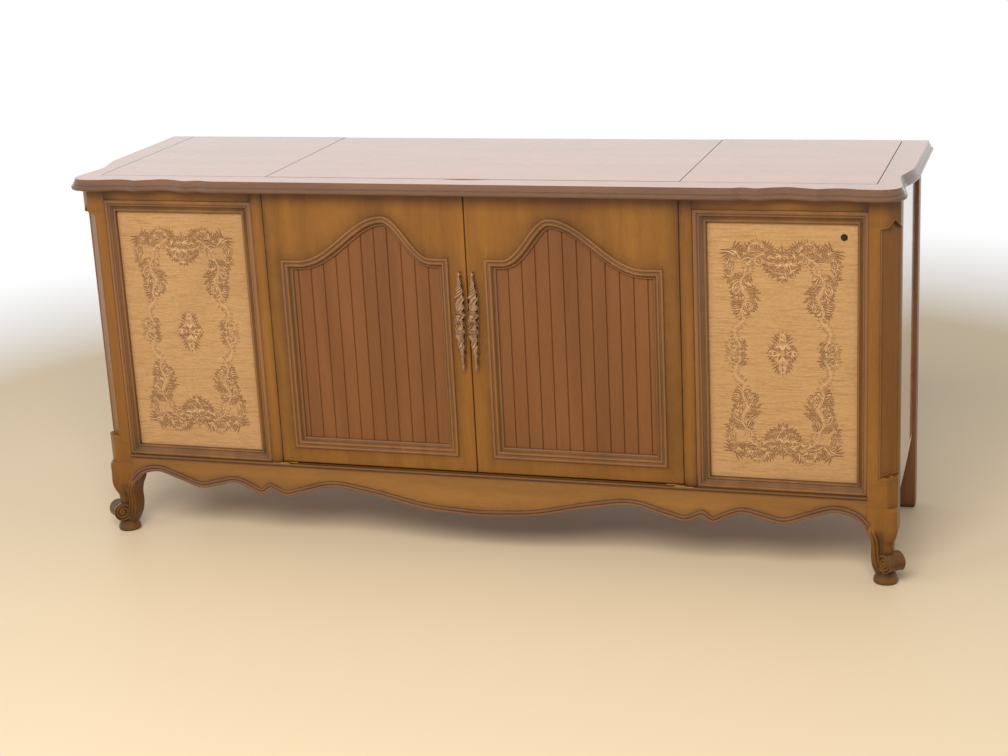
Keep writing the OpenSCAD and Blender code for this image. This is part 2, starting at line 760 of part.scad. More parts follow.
// Doors: arched opening, with the moulding over the joint of frame and panel
door_edge = door_half - stile_gap;
arch_left = meet_gap + mould_in_x;
arch_right = door_edge - mould_out_x;
arch_foot = door_foot + mould_foot;
shoulder_in_z = door_head - shoulder_in_drop;
shoulder_out_z = door_head - shoulder_out_drop;
crown_z = door_head - crown_drop;
function arch_z(x) =
  x < shoulder_in_x ? shoulder_in_z :
  x < crown_x ? shoulder_in_z
    + (crown_z - shoulder_in_z) * ease((x - shoulder_in_x) / (crown_x - shoulder_in_x)) :
  x < shoulder_out_x ? crown_z
    + (shoulder_out_z - crown_z) * ease((x - crown_x) / (shoulder_out_x - crown_x)) :
  shoulder_out_z;
arch_steps = 14;
arch_x = concat([for (i = [0:arch_steps]) shoulder_in_x + (crown_x - shoulder_in_x) * i / arch_steps],
  [for (i = [1:arch_steps]) crown_x + (shoulder_out_x - crown_x) * i / arch_steps]);
// Counter-clockwise from the lower inner corner
arch_line = concat([[arch_left, arch_foot], [arch_right, arch_foot],
  [arch_right, shoulder_out_z]], [for (x = reversed(arch_x)) [x, arch_z(x)]],
  [[arch_left, shoulder_in_z]]);

module door_frame() {
  upright(front_y, door_t) difference() {
    translate([meet_gap, door_foot]) square([door_edge - meet_gap, door_head - door_foot]);
    polygon(shifted(arch_line, mould_seat_w, true));
  }
}
module door_panel() {
  // Boards side by side, with a groove at each joint
  field_left = arch_left + door_mould_w - 4;
  count = floor((arch_right - field_left) / board_w);
  y = front_y + panel_in;
  intersection() {
    translate([0, 0, arch_foot]) linear_extrude(crown_z - arch_foot)
      difference() {
        translate([arch_left, y]) square([arch_right - arch_left, panel_t]);
        for (i = [1:count])
          translate([field_left + i * board_w, y])
            polygon([[-groove_d * 0.7, -0.1], [groove_d * 0.7, -0.1], [0, groove_d]]);
      }
    upright(front_y, face_t) polygon(shifted(arch_line, mould_seat_w, true));
  }
}
// Section of the door moulding: distance inwards, distance behind the face
door_mould_section = [[0, 0], [0, -0.55 * door_mould_out], [2, -door_mould_out],
  [5, -door_mould_out], [6.5, -0.4 * door_mould_out], [8.5, -0.3 * door_mould_out],
  [10.5, -0.7 * door_mould_out], [13, -0.45 * door_mould_out],
  [door_mould_w - 5, panel_in * 0.45], [door_mould_w - 2, panel_in * 0.62],
  [door_mould_w, panel_in * 0.75], [door_mould_w, panel_in], [mould_seat_w, panel_in],
  [mould_seat_w, 0]];
module door_moulding() {
  lines = [for (s = door_mould_section) shifted(arch_line, s[0], true)];
  skin([for (i = [0:len(arch_line) - 1]) [for (k = [len(lines) - 1:-1:0])
    [lines[k][i][0], front_y + door_mould_section[k][1], lines[k][i][1]]]], true);
}
module door_frame_right() {
  color(wood) door_frame();
}
module door_frame_left() {
  color(wood) mirror([1, 0, 0]) door_frame();
}
module door_panel_right() {
  color(board_wood) door_panel();
}
module door_panel_left() {
  color(board_wood) mirror([1, 0, 0]) door_panel();
}
module door_moulding_right() {
  color(dark_wood) door_moulding();
}
module door_moulding_left() {
  color(dark_wood) mirror([1, 0, 0]) door_moulding();
}

// Door pull: pierced-looking plate, two posts, and a bar that is twisted above
// the rosette and beaded below it
pull_plate_t = 2;
bar_r = 3.6;
plate_knots = [[0.16, 0.5], [0.42, 0.47], [0.26, 0.42], [0.55, 0.36], [0.34, 0.3],
  [0.72, 0.22], [0.5, 0.13], [0.95, 0.04], [1, 0]];
module pull_plate() {
  // From the top down to the middle, on the right-hand side
  upper = smooth([for (k = plate_knots) [k[0] * pull_w / 2, k[1] * pull_len]], 3);
  right = concat([for (p = upper) [p[0], -p[1]]],
    [for (i = [len(upper) - 2:-1:0]) upper[i]]);
  polygon(concat(right, flipped(right)));
}
module pull_bar() {
  beads = 6;
  steps = 6;
  collar = 5;
  half = pull_post_gap / 2;
  bead_h = (half - collar - 4) / beads;
  // Beads on the lower half
  translate([0, 0, -half + 4]) rotate_extrude($fn = 32) polygon(concat([[0, 0]],
    [for (i = [0:beads * steps]) [bar_r * (0.5 + 0.5 * abs(sin(180 * i / steps))),
      bead_h * i / steps]], [[0, beads * bead_h]]));
  // Two strands twisted together on the upper half
  turns = 30;
  skin([for (k = [0:turns]) [for (a = [0:36:324])
    let (r = bar_r * (0.76 + 0.24 * cos(2 * a - k * 36)))
    [r * cos(a), r * sin(a), collar + k * (half - collar - 4) / turns]]], false);
  // Collar behind the rosette, and turned ends over the posts
  translate([0, 0, -collar]) cylinder(r = bar_r + 0.6, h = 2 * collar);
  for (s = [-1, 1]) translate([0, 0, s * half]) {
    cylinder(r = bar_r + 0.6, h = 8, center = true);
    translate([0, 0, s * 4]) sphere(bar_r, $fn = 32);
  }
}
module pull_rosette() {
  petals = 8;
  rotate([90, 0, 0]) {
    cylinder(r = 6, h = 5.4);
    for (i = [0:petals - 1]) rotate([0, 0, i * 360 / petals + 22.5])
      translate([6, 0, bar_r - 1]) cylinder(r = 2.2, h = 2.4, $fn = 24);
    translate([0, 0, 5]) sphere(2.2, $fn = 24);
  }
}
module door_pull() {
  translate([meet_gap + pull_x, front_y, pull_z]) {
    upright(-pull_plate_t, pull_plate_t) pull_plate();
    for (s = [-1, 1]) translate([0, -pull_plate_t, s * pull_post_gap / 2]) rotate([90, 0, 0])
      cylinder(r = 3, h = pull_off - pull_plate_t);
    translate([0, -pull_off, 0]) pull_bar();
    translate([0, -pull_off, 0]) pull_rosette();
  }
}
module door_pull_right() {
  color(brass) door_pull();
}
module door_pull_left() {
  color(brass) mirror([1, 0, 0]) door_pull();
}

// Lid, hung on two butt hinges with their line on its lower back edge
hinge_y = back_y - knuckle_r;
hinge_z = under_top;
leaf_t = 2;
lid_lift = 0.3;
knuckles = 3;
knuckle_gap = 0.4;
module lid_hinge_room() {
  both() translate([hinge_x - hinge_len / 2 - drop_fit, hinge_y, hinge_z]) rotate([0, 90, 0])
    cylinder(r = knuckle_r + drop_fit, h = hinge_len + 2 * drop_fit);
}
module lid() {
  color(top_wood) difference() {
    board([-lid_half + lid_seam, strip_y + lid_seam, under_top + lid_lift],
      [lid_half - lid_seam, hinge_y - 0.5, total_h]);
    lid_hinge_room();
    both() board([hinge_x - hinge_len / 2 - drop_fit, hinge_y - leaf_w, under_top],
      [hinge_x + hinge_len / 2 + drop_fit, hinge_y, under_top + lid_lift + leaf_t]);
  }
}
knuckle_len = hinge_len / knuckles;
module knuckle(i) {
  translate([hinge_x - hinge_len / 2 + i * knuckle_len + knuckle_gap / 2, hinge_y, hinge_z])
    rotate([0, 90, 0]) cylinder(r = knuckle_r, h = knuckle_len - knuckle_gap);
}
module lid_hinge_wings() {
  color(brass) {
    both() difference() {
      union() {
        knuckle(1);
        board([hinge_x - hinge_len / 2, hinge_y - leaf_w, under_top + lid_lift],
          [hinge_x + hinge_len / 2, hinge_y - knuckle_r - drop_fit,
            under_top + lid_lift + leaf_t]);
        board([hinge_x - knuckle_len / 2 + knuckle_gap, hinge_y - leaf_w,
          under_top + lid_lift], [hinge_x + knuckle_len / 2 - knuckle_gap, hinge_y,
          under_top + lid_lift + leaf_t]);
      }
      hinge_line(hinge_pin_r + run_fit);
    }
    stay_ear();
  }
}
module hinge_line(r) {
  translate([hinge_x - hinge_len / 2 - 1, hinge_y, hinge_z]) rotate([0, 90, 0])
    cylinder(r = r, h = hinge_len + 2);
}
// Fixed leaves, on the back of the rail, and the bracket of the stay
module lid_fittings() {
  color(brass) {
    both() {
      for (i = [0, 2]) {
        knuckle(i);
        translate([hinge_x + (i - 1) * knuckle_len, 0, 0])
          board([-knuckle_len / 2 + knuckle_gap / 2, rail_back, hinge_z - leaf_w],
            [knuckle_len / 2 - knuckle_gap / 2, rail_back + leaf_t, hinge_z]);
      }
      board([hinge_x - hinge_len / 2, rail_back, hinge_z - leaf_w],
        [hinge_x + hinge_len / 2, rail_back + leaf_t, hinge_z - knuckle_r - drop_fit]);
      translate([hinge_x - hinge_len / 2, hinge_y, hinge_z]) rotate([0, 90, 0])
        cylinder(r = hinge_pin_r, h = hinge_len);
    }
    stay_pin(stay_foot);
    board([-partition_in, stay_foot[0] - 14, stay_foot[1] - 7],
      [stay_board, stay_foot[0] + 8, stay_foot[1] + 7]);
  }
}

// Lid stay: a rod that slides out of a tube. Both ends lie at the same distance
// from the hinge line, so each turns by half the angle of the lid.
stay_x = -partition_in + 16;
stay_board = stay_x - stay_tube_r - 0.8;
stay_board_t = 3.5;
stay_pin_r = 2;
stay_eye_r = 4.6;
stay_eye_t = 5;
stay_drop = 5;
head_angle = asin(stay_drop / stay_r);
stay_foot = [hinge_y - stay_r * cos(head_angle + stay_angle),
  hinge_z - stay_r * sin(head_angle + stay_angle)];
stay_head = [hinge_y - stay_r * cos(head_angle), hinge_z - stay_r * sin(head_angle)];
stay_closed = norm(stay_head - stay_foot);
stay_tilt = atan2(stay_head[1] - stay_foot[1], stay_head[0] - stay_foot[0]);
module along_stay() {
  translate([stay_x, stay_foot[0], stay_foot[1]]) rotate([stay_tilt - 90, 0, 0]) children();
}
module stay_tube() {
  color(steel) along_stay() difference() {
    union() {
      rotate([0, 90, 0]) cylinder(r = stay_eye_r, h = stay_eye_t, center = true);
      translate([0, 0, 2.5]) cylinder(r = 2.5, h = 5);
      translate([0, 0, 6]) cylinder(r = stay_tube_r, h = stay_closed - 6 - 7);
    }
    rotate([0, 90, 0]) cylinder(r = stay_pin_r + run_fit, h = 12, center = true);
    translate([0, 0, 9]) cylinder(r = stay_rod_r + drop_fit, h = stay_closed);
  }
}
module stay_rod() {
  color(steel) along_stay() difference() {
    union() {
      translate([0, 0, stay_closed]) rotate([0, 90, 0])
        cylinder(r = stay_eye_r, h = stay_eye_t, center = true);
      translate([0, 0, 10]) cylinder(r = stay_rod_r, h = stay_closed - 10 - 3);
    }
    translate([0, 0, stay_closed]) rotate([0, 90, 0])
      cylinder(r = stay_pin_r + run_fit, h = 12, center = true);
  }
}
// Pin that stands out of its board, through the eye of the tube or the rod
module stay_pin(at) {
  translate([stay_board - 1, at[0], at[1]]) rotate([0, 90, 0])
    cylinder(r = stay_pin_r, h = stay_x + stay_eye_t / 2 - stay_board + 2);
}
module stay_ear() {
  stay_pin(stay_head);
  board([stay_board - stay_board_t, stay_head[0] - 12, stay_head[1] - 4],
    [stay_board, stay_head[0] + 12, under_top + lid_lift]);
}

// Electronics between the store and the motor board
module amplifier() {
  // Chassis with its transformer, capacitors and cooling fins, under the tuner
  w = 300;
  d = 190;
  room = works_h - tuner_deep;
  h = 0.57 * room;
  color(steel) translate([-tuner_x + 85, 20, ceiling_top]) {
    translate([-w / 2, -d / 2, 0]) cube([w, d, h]);
    translate([-w / 2 + 16, -d / 2 + 20, h]) cube([72, 62, 0.38 * room]);
    for (i = [0:3]) translate([20 + i * 34, -20, h]) cylinder(r = 12, h = 0.36 * room);
    for (i = [0:7]) translate([-20 + i * 16, 60, h]) cube([3, 30, 0.32 * room]);
  }
}
tuner_top = deck_z + tuner_h;
tuner_deep = 36;
module tuner_chassis() {
  // Box through the motor board, with the dial plate in its top
  color(steel) difference() {
    board([-tuner_x - (tuner_w - 30) / 2 + drop_fit, -(tuner_d - 30) / 2 + drop_fit,
      deck_z - tuner_deep], [-tuner_x + (tuner_w - 30) / 2 - drop_fit, (tuner_d - 30) / 2 - drop_fit,
      tuner_top - tuner_t]);
    board([-tuner_x - dial_w / 2, dial_y - dial_d / 2, tuner_top - tuner_t - dial_deep],
      [-tuner_x + dial_w / 2, dial_y + dial_d / 2, tuner_top]);
  }
}
dial_y = 42;
dial_deep = 8;
knob_y = -62;
module tuner_panel() {
  lip = 2;
  color("#b9b2a0") difference() {
    translate([-tuner_x, 0, deck_z]) rounded_plate(tuner_w, tuner_d, 8, tuner_h);
    translate([-tuner_x, 0, deck_z - 1])
      rounded_plate(tuner_w - 2 * lip, tuner_d - 2 * lip, 6, tuner_h - tuner_t + 1);
    translate([-tuner_x, dial_y, tuner_top]) cube([dial_w, dial_d, 4 * tuner_t], center = true);
    for (x = knob_places) translate([x, knob_y, deck_z])
      cylinder(r = knob_shaft_r + 1, h = tuner_h + 1);
  }
}
module dial_glass() {
  color("#dfe8e2") translate([-tuner_x, dial_y, tuner_top - tuner_t / 2])
    cube([dial_w - 0.4, dial_d - 0.4, tuner_t - 0.4], center = true);
}
module dial_pointer() {
  z = tuner_top - tuner_t - dial_deep;
  color("#c02a1c") {
    board([-tuner_x - 0.8, dial_y - dial_d / 2 + 3, z + 4], [-tuner_x + 0.8,
      dial_y + dial_d / 2 - 3, z + 5.5]);
    board([-tuner_x - 6, dial_y - dial_d / 2 + 3, z + 0.3], [-tuner_x + 6,
      dial_y - dial_d / 2 + 9, z + 4]);
  }
}
knob_shaft_r = 3;
knob_places = [for (i = [-1, 0, 1]) -tuner_x + i * knob_gap];
module knob(x) {
  flutes = 12;
  translate([x, knob_y, 0]) difference() {
    union() {
      translate([0, 0, tuner_top - tuner_t]) cylinder(r = knob_shaft_r, h = tuner_t + 2);
      translate([0, 0, tuner_top + 0.4]) cylinder(r = knob_r, h = 3);
      translate([0, 0, tuner_top + 3.4]) cylinder(r = knob_r - 2, h = knob_h - 3);
    }
    for (i = [0:flutes - 1]) rotate([0, 0, i * 360 / flutes])
      translate([knob_r - 1.4, 0, tuner_top + 3.4]) cylinder(r = 1.2, h = knob_h, $fn = 16);
    translate([0, knob_r - 4, tuner_top + 0.4 + knob_h])
      cube([1.4, 8, 1.6], center = true);
  }
}
module knob_tuning() {
  color(black) knob(knob_places[2]);
}
module knob_volume() {
  color(black) knob(knob_places[0]);
}
module knob_tone() {
  color(black) knob(knob_places[1]);
}

// Record changer
plate_z = deck_z + changer_h;
platter_foot = plate_z + 3;
platter_top = platter_foot + platter_h;
arm_pivot = [changer_x + arm_x, arm_y];
arm_z = platter_top + 12;
record_arm_at = [changer_x - 118, 124];
record_arm_z = platter_top + spindle_h + 2;
module changer_plate() {
  lip = 2;
  rest = [arm_pivot[0], arm_pivot[1] - arm_len + 45];
  color(steel) {
    difference() {
      translate([changer_x, 0, deck_z]) rounded_plate(changer_w, changer_d, 14, changer_h);
      translate([changer_x, 0, deck_z - 1])
        rounded_plate(changer_w - 2 * lip, changer_d - 2 * lip, 12, changer_h - 1);
    }
    // Motor and trip mechanism below the plate
    translate([changer_x, 0, deck_z - 30])
      rounded_plate(changer_w - 51, changer_d - 51, 10, 30 + changer_h - 2);
    translate([rest[0], rest[1], plate_z]) cylinder(r = 4, h = arm_z - plate_z - arm_r - 0.2);
  }
}
arm_r = 4;
module spindle() {
  color(steel) translate([changer_x, 0, 0]) {
    translate([0, 0, plate_z]) cylinder(r = spindle_r + 6, h = 2.8);
    translate([0, 0, plate_z]) cylinder(r = spindle_r, h = platter_top + spindle_h - 6 - plate_z);
    translate([0, 0, platter_top + spindle_h - 6]) cylinder(r1 = spindle_r, r2 = 1.2, h = 6);
  }
}
module platter() {
  r = platter_r;
  color("#2c2a2a") translate([changer_x, 0, platter_foot]) difference() {
    rotate_extrude($fn = 120) polygon([[0, 4], [14, 4], [14, 0], [22, 0], [22, 8], [r - 10, 8],
      [r - 10, 0], [r - 3, 0], [r - 1, 3], [r, platter_h - 3], [r - 2, platter_h],
      [r - 8, platter_h], [r - 9, platter_h - 1], [60, platter_h - 1], [58, platter_h - 2],
      [40, platter_h - 2], [38, platter_h], [0, platter_h]]);
    cylinder(r = spindle_r + run_fit, h = platter_h + 1);
  }
}
module arm_post() {
  color(black) translate([arm_pivot[0], arm_pivot[1], 0]) {
    translate([0, 0, plate_z + 0.3]) cylinder(r = 13, h = 10);
    translate([0, 0, plate_z + 10]) cylinder(r = 9, h = arm_z - plate_z - 18);
    for (s = [-1, 1]) translate([s * 7.5 - 1.5, -6, arm_z - 9]) cube([3, 12, 15]);
    translate([-8, 0, arm_z]) rotate([0, 90, 0]) cylinder(r = 1.5, h = 16);
  }
}
module tone_arm() {
  color("#4b4744") translate([arm_pivot[0], arm_pivot[1], arm_z]) difference() {
    union() {
      rotate([0, 90, 0]) cylinder(r = 5, h = 10, center = true);
      rotate([90, 0, 0]) cylinder(r = arm_r, h = arm_len - 24);
      rotate([-90, 0, 0]) cylinder(r = 3, h = 18);
      translate([0, 14, 0]) rotate([-90, 0, 0]) cylinder(r = 9, h = 18);
      translate([0, -arm_len, 0]) head_shell();
    }
    rotate([0, 90, 0]) cylinder(r = 1.5 + run_fit, h = 12, center = true);
  }
}
module head_shell() {
  hull() {
    translate([-7, -6, -5]) cube([14, 4, 8]);
    translate([-5, 30, -4]) cube([10, 2, 7]);
  }
  translate([-4, -2, -9]) cube([8, 14, 5]);
}
module record_arm() {
  reach = norm([changer_x, 0] - record_arm_at);
  aim = atan2(-record_arm_at[1], changer_x - record_arm_at[0]);
  color(steel) translate([record_arm_at[0], record_arm_at[1], 0]) {
    translate([0, 0, plate_z + 0.3]) cylinder(r = 5, h = record_arm_z - plate_z);
    translate([0, 0, plate_z + 0.3]) cylinder(r = 9, h = 5);
    rotate([0, 0, aim]) {
      translate([0, -3, record_arm_z]) cube([reach - 4, 6, 4]);
      translate([reach, 0, record_arm_z]) cylinder(r = 11, h = 4);
    }
  }
}

top_front_edge();
top_corner_left();
top_corner_right();
top_panels();
end_panels();
front_leg_left();
front_leg_right();
rear_legs();
apron();
apron_bead();
base_moulding();
door_stiles();
friezes();
speaker_frame_left();
speaker_frame_right();
grille_left();
grille_right();
baffles();
speakers();
pilot_lamp();
partitions();
bottom_board();
storage_ceiling();
fascia();
motor_board();
top_rails();
back_panel();
back_screws();
record_dividers();
door_fittings();
lid_fittings();
amplifier();
mains_inlet();
tuner_chassis();
tuner_panel();
dial_glass();
changer_plate();
spindle();
door_frame_left();
door_frame_right();
door_panel_left();
door_panel_right();
door_moulding_left();
door_moulding_right();
door_pull_left();
door_pull_right();
door_ironwork_left();
door_ironwork_right();
lid();
lid_hinge_wings();
stay_tube();
stay_rod();
platter();
arm_post();
tone_arm();
record_arm();
knob_tuning();
knob_volume();
knob_tone();
dial_pointer();
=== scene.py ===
# %% [markdown]
# # Dressing a console stereo cabinet
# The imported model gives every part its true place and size. This notebook puts the finish on it:
# fruitwood with a shaded glaze, woven grille cloth, cast pulls and a carved pair of front feet.
# Everything is in the model's own frame: X along the front, Y towards the back, Z up.

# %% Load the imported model
import bmesh
import bpy
import numpy as np
from mathutils import Matrix, Vector
from numpy import (array, clip, concatenate, cos, interp, linspace, minimum, pi, radians, sin,
                   stack, vstack)


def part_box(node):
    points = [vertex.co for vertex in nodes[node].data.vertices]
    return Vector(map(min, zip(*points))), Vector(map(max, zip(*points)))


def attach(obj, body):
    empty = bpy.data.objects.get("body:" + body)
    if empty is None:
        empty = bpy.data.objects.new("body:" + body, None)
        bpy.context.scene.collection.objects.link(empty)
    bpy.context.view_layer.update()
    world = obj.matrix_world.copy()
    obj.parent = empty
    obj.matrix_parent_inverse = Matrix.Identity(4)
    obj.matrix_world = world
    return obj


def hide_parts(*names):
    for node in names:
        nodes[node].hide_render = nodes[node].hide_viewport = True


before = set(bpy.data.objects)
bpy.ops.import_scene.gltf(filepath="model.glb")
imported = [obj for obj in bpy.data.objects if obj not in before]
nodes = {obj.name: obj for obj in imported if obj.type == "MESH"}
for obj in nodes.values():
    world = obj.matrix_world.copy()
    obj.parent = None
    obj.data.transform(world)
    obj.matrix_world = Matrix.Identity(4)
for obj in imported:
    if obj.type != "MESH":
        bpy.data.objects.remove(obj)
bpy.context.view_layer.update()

# %% [markdown]
# ## The camera
# A camera is nothing but a place, three angles and a focal length. These were found by fitting the
# corners of the cabinet to where they stand in the photograph, and are written down as they came.
# Blender's camera looks along its own -Z, so it is rolled, tilted up from there, then swung round.

# %% Camera
PHOTO_W, FOCAL_PX, SENSOR_MM = 1008, 1936.4, 36.0
YAW, PITCH, ROLL = radians([-17.863, 16.995, 2.903])
STAND = (1.1361, -3.5346, 1.4375)


def placed(name, data):
    made = bpy.data.objects.new(name, data)
    bpy.context.scene.collection.objects.link(made)
    return made


def turned_by(angle, axis):
    return Matrix.Rotation(angle, 4, axis)


lens = bpy.data.cameras.new("photo_camera")
lens.sensor_width, lens.lens = SENSOR_MM, FOCAL_PX / PHOTO_W * SENSOR_MM
lens.clip_start, lens.clip_end = 0.05, 100.0
camera = bpy.context.scene.camera = placed("photo_camera", lens)
camera.matrix_world = (Matrix.Translation(STAND) @ turned_by(-YAW, "Z")
                       @ turned_by(pi / 2 - PITCH, "X") @ turned_by(-ROLL, "Z"))
print("lens", round(lens.lens, 2), "mm")

# %% [markdown]
# ## Surfaces from formulas
# Every new piece is a grid of points P(u, v), worked out as one array. Faces join neighbours in the
# grid. A grid may close on itself in either direction, like a hose or a ring, and its ends may be
# capped. The sign of the enclosed volume tells whether the faces look outwards, so each patch can
# be turned the right way round before it goes into the mesh.

# %% Grids into meshes
MM = 0.001
ROOM = (0, -1, 0)


def patch(points, loop_u=False, loop_v=False, caps=False, looks=None, shade=0.0):
    """Grid P(i, j) in millimetres as points, faces and the shade number that the finishes read:
    glaze, and painted shade in places.
    looks names the way an open sheet faces; any other faces away from its own middle."""
    points = np.asarray(points, float)
    nu, nv = points.shape[:2]
    i, j = np.meshgrid(np.arange(nu - (not loop_u)), np.arange(nv - (not loop_v)), indexing="ij")
    a, b = (i + 1) % nu, (j + 1) % nv
    quads = stack([i * nv + j, a * nv + j, a * nv + b, i * nv + b], -1).reshape(-1, 4)
    flat = points.reshape(-1, 3)
    p = flat[quads]
    push = np.cross(p[:, 2] - p[:, 0], p[:, 3] - p[:, 1])
    away = p.mean(1) - flat.mean(0) if looks is None else looks
    ends = [list(range(nv)), [(nu - 1) * nv + k for k in reversed(range(nv))]] if caps else []
    faces = quads.tolist() + ends
    if (push * away).sum() < 0:
        faces = [face[::-1] for face in faces]
    return flat, faces, clip(np.broadcast_to(shade, (nu, nv)), 0, 1).ravel()


def bar(points, shade=0.0):
    """A grid closed round v, with both ends capped."""
    return patch(points, loop_v=True, caps=True, shade=shade)


def ring(points, shade):
    return patch(points, loop_u=True, loop_v=True, shade=shade)


def tube(points, shade=0.0):
    """A grid closed round u, whose ends run out in a point or stay hidden."""
    return patch(points, loop_u=True, shade=shade)


def piece(name, patches, material, body="cabinet", hides=(), crease=34):
    """Joins patches into one object that rides on a body and stands for the parts it hides."""
    mesh = bpy.data.meshes.new(name)
    points, faces, shades = zip(*patches)
    starts = np.cumsum([0] + [len(p) for p in points]).tolist()
    faces = [[start + k for k in face] for own, start in zip(faces, starts) for face in own]
    mesh.from_pydata(vstack(points) * MM, [], faces)
    mesh.attributes.new("shade", "FLOAT", "POINT").data.foreach_set("value", concatenate(shades))
    work = bmesh.new()
    work.from_mesh(mesh)
    bmesh.ops.remove_doubles(work, verts=work.verts, dist=1e-6)
    bmesh.ops.dissolve_degenerate(work, edges=work.edges, dist=1e-7)
    work.to_mesh(mesh)
    work.free()
    mesh.polygons.foreach_set("use_smooth", np.ones(len(mesh.polygons), bool))
    mesh.set_sharp_from_angle(angle=radians(crease))
    mesh.materials.append(finishes[material])
    made = placed(name, mesh)
    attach(made, body)
    if hides:
        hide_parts(*hides)
    print(f"{name}: {len(mesh.polygons)} faces")
    return made


def span(node):
    """Lowest and highest corner of a CAD part, in millimetres."""
    return array(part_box(node)) / MM


def mirrored(patches):
    """The other hand: x changes sign, and the faces run the other way."""
    return [(p * [-1, 1, 1], [f[::-1] for f in faces], shade) for p, faces, shade in patches]


def moved(patches, step):
    return [(p + step, faces, shade) for p, faces, shade in patches]


HANDS = {"right": list, "left": mirrored}
print("a door spans", span("door_frame_right")[:, 0], "mm")

# %% [markdown]
# ## Curves and mouldings
# A moulding is one section carried along one path. The section's first number is how far it stands
# to the left of the path and its second how far it stands out. At a corner the step to the left
# is lengthened, so that the mitre stays square. Smooth curves run through a few knots as cubics,
# with the same slopes as in the construction, so that the dressed edge lies on the built one.

# %% Curves


def unit(v):
    return v / np.linalg.norm(v, axis=-1, keepdims=True)


def knots(*numbers):
    """Knots of a curve from a plain run of numbers, two for each."""
    return array(numbers, float).reshape(-1, 2)


def smooth(k, steps):
    """Cubic Hermite curve through the knots; the slope at a knot leans to its nearer neighbour."""
    step = np.diff(k, axis=0)
    far = np.linalg.norm(step, axis=1)[:, None]
    inner = (step[1:] * far[:-1] / far[1:] + step[:-1] * far[1:] / far[:-1]) / (far[:-1] + far[1:])
    tangent = vstack([step[:1] / far[0], inner, step[-1:] / far[-1]])
    t = (np.arange(steps) / steps)[None, :, None]
    p, q, m, n, d = k[:-1, None], k[1:, None], tangent[:-1, None], tangent[1:, None], far[:, None]
    curve = ((2 * t**3 - 3 * t**2 + 1) * p + (t**3 - 2 * t**2 + t) * d * m
             + (3 * t**2 - 2 * t**3) * q + (t**3 - t**2) * d * n)
    return vstack([curve.reshape(-1, k.shape[1]), k[-1:]])


def mitre(path, loop=False):
    """Step to the left at each point of a flat path, (a + b) / (1 + a.b) for the sides' normals."""
    if loop:
        before, after = path - np.roll(path, 1, 0), np.roll(path, -1, 0) - path
    else:
        step = np.diff(path, axis=0)
        before, after = vstack([step[:1], step]), vstack([step, step[-1:]])
    a, b = (unit(s)[:, ::-1] * [-1, 1] for s in (before, after))
    return (a + b) / (1 + (a * b).sum(1, keepdims=True))


def joined(*grids):
    return concatenate(grids, 1)


def meeting(*parts):
    """A grid from its three coordinates, each given over as much of the grid as it needs."""
    return stack(np.broadcast_arrays(*parts), -1)


def raised(flat, out):
    """Gives each point of a flat grid its third number."""
    return concatenate([flat, np.broadcast_to(out, flat.shape[:2] + (1,))], -1)


def carried(path, section, loop=False, ends=None):
    """(n, k, 3) array: place in the path's plane, then how far the section stands out."""
    side = mitre(path, loop)
    if ends is not None:
        side[0], side[-1] = ends
    return raised(path[:, None] + side[:, None] * section[:, :1], section[:, 1:])


def on_front(grid):
    """A grid of x, z and distance out becomes x, y, z, with y falling as it stands out."""
    return grid[..., [0, 2, 1]]


def circle(n):
    return linspace(0, 2 * pi, n, endpoint=False)[:, None]


def lathe(profile, turns):
    """Profile of radius and height turned about the Z axis."""
    r, h = profile.T
    angle = circle(turns)
    return meeting(r * cos(angle), r * sin(angle), h)


def round_box(x, y, radii, n, first):
    """Four corner arcs (c + r cos, c + r sin), the first of them from an angle in degrees."""
    arcs = []
    for start, r in zip((first + np.arange(0, 360, 90)) % 360, radii):
        angle = radians(start + linspace(0, 90, n))
        cx = x[1] - r if start in (270, 0) else x[0] + r
        cy = y[1] - r if start in (0, 90) else y[0] + r
        arcs.append(stack([cx + r * cos(angle), cy + r * sin(angle)], -1))
    return arcs


def fade(distance, reach):
    """Glaze that is 1 at a line and dies away over the reach."""
    return np.exp(-clip(distance, 0, None) / reach)


def reed(distance, at, half):
    """A bump at a line, exp(-((distance - at) / half)^2)."""
    return np.exp(-((distance - at) / half) ** 2)


print(len(smooth(knots(0, 0, 10, 5, 20, 0), 8)), "points through 3 knots")

# %% [markdown]
# ## Finishes
# Materials read the object's own coordinates, in metres, so a grain keeps its scale on any part.
# A wood is three noises stretched along the grain: broad figure, fine fibre and short dark pores.
# The shaded finish of such cabinets is a dark glaze, wiped off the flats and left in the hollows.
# Each new piece carries a number called shade for it, 0 where the wood is clean, 1 in the depths.
# The same number also holds painted shade: in the seams beside the lid, along the cloth's edges,
# on the uprights just under the top, on the lowest round of the top's edge, and up the door frames.

# %% Small tools for materials
finishes = {}


def srgb(r, g, b):
    """Colour as it looks on a screen, 0 to 255, turned into linear light."""
    c = array([r, g, b]) / 255
    return (*np.where(c <= 0.04045, c / 12.92, ((c + 0.055) / 1.055) ** 2.4), 1.0)


def feed(made, inputs):
    """Sockets are linked to a node's inputs, and plain numbers are set on them."""
    for key, value in inputs.items():
        if isinstance(value, bpy.types.NodeSocket):
            made.id_data.links.new(value, made.inputs[key])
        else:
            made.inputs[key].default_value = value
    return made


def node(at, kind, inputs={}, **settings):
    """A new node in the same tree as another node or socket."""
    made = at.id_data.nodes.new("ShaderNode" + kind)
    for key, value in settings.items():
        setattr(made, key, value)
    return feed(made, inputs)


def finish(name, **sockets):
    """The shader of an empty finish, with plain numbers on the shader itself."""
    material = finishes[name] = bpy.data.materials.new(name)
    material.use_nodes = True
    return feed(material.node_tree.nodes["Principled BSDF"],
                {key.replace("_", " "): value for key, value in sockets.items()})


def mapped(at, scale=(1, 1, 1)):
    place = node(at, "TexCoord").outputs["Object"]
    return node(at, "Mapping", {"Vector": place, "Scale": scale}).outputs[0]


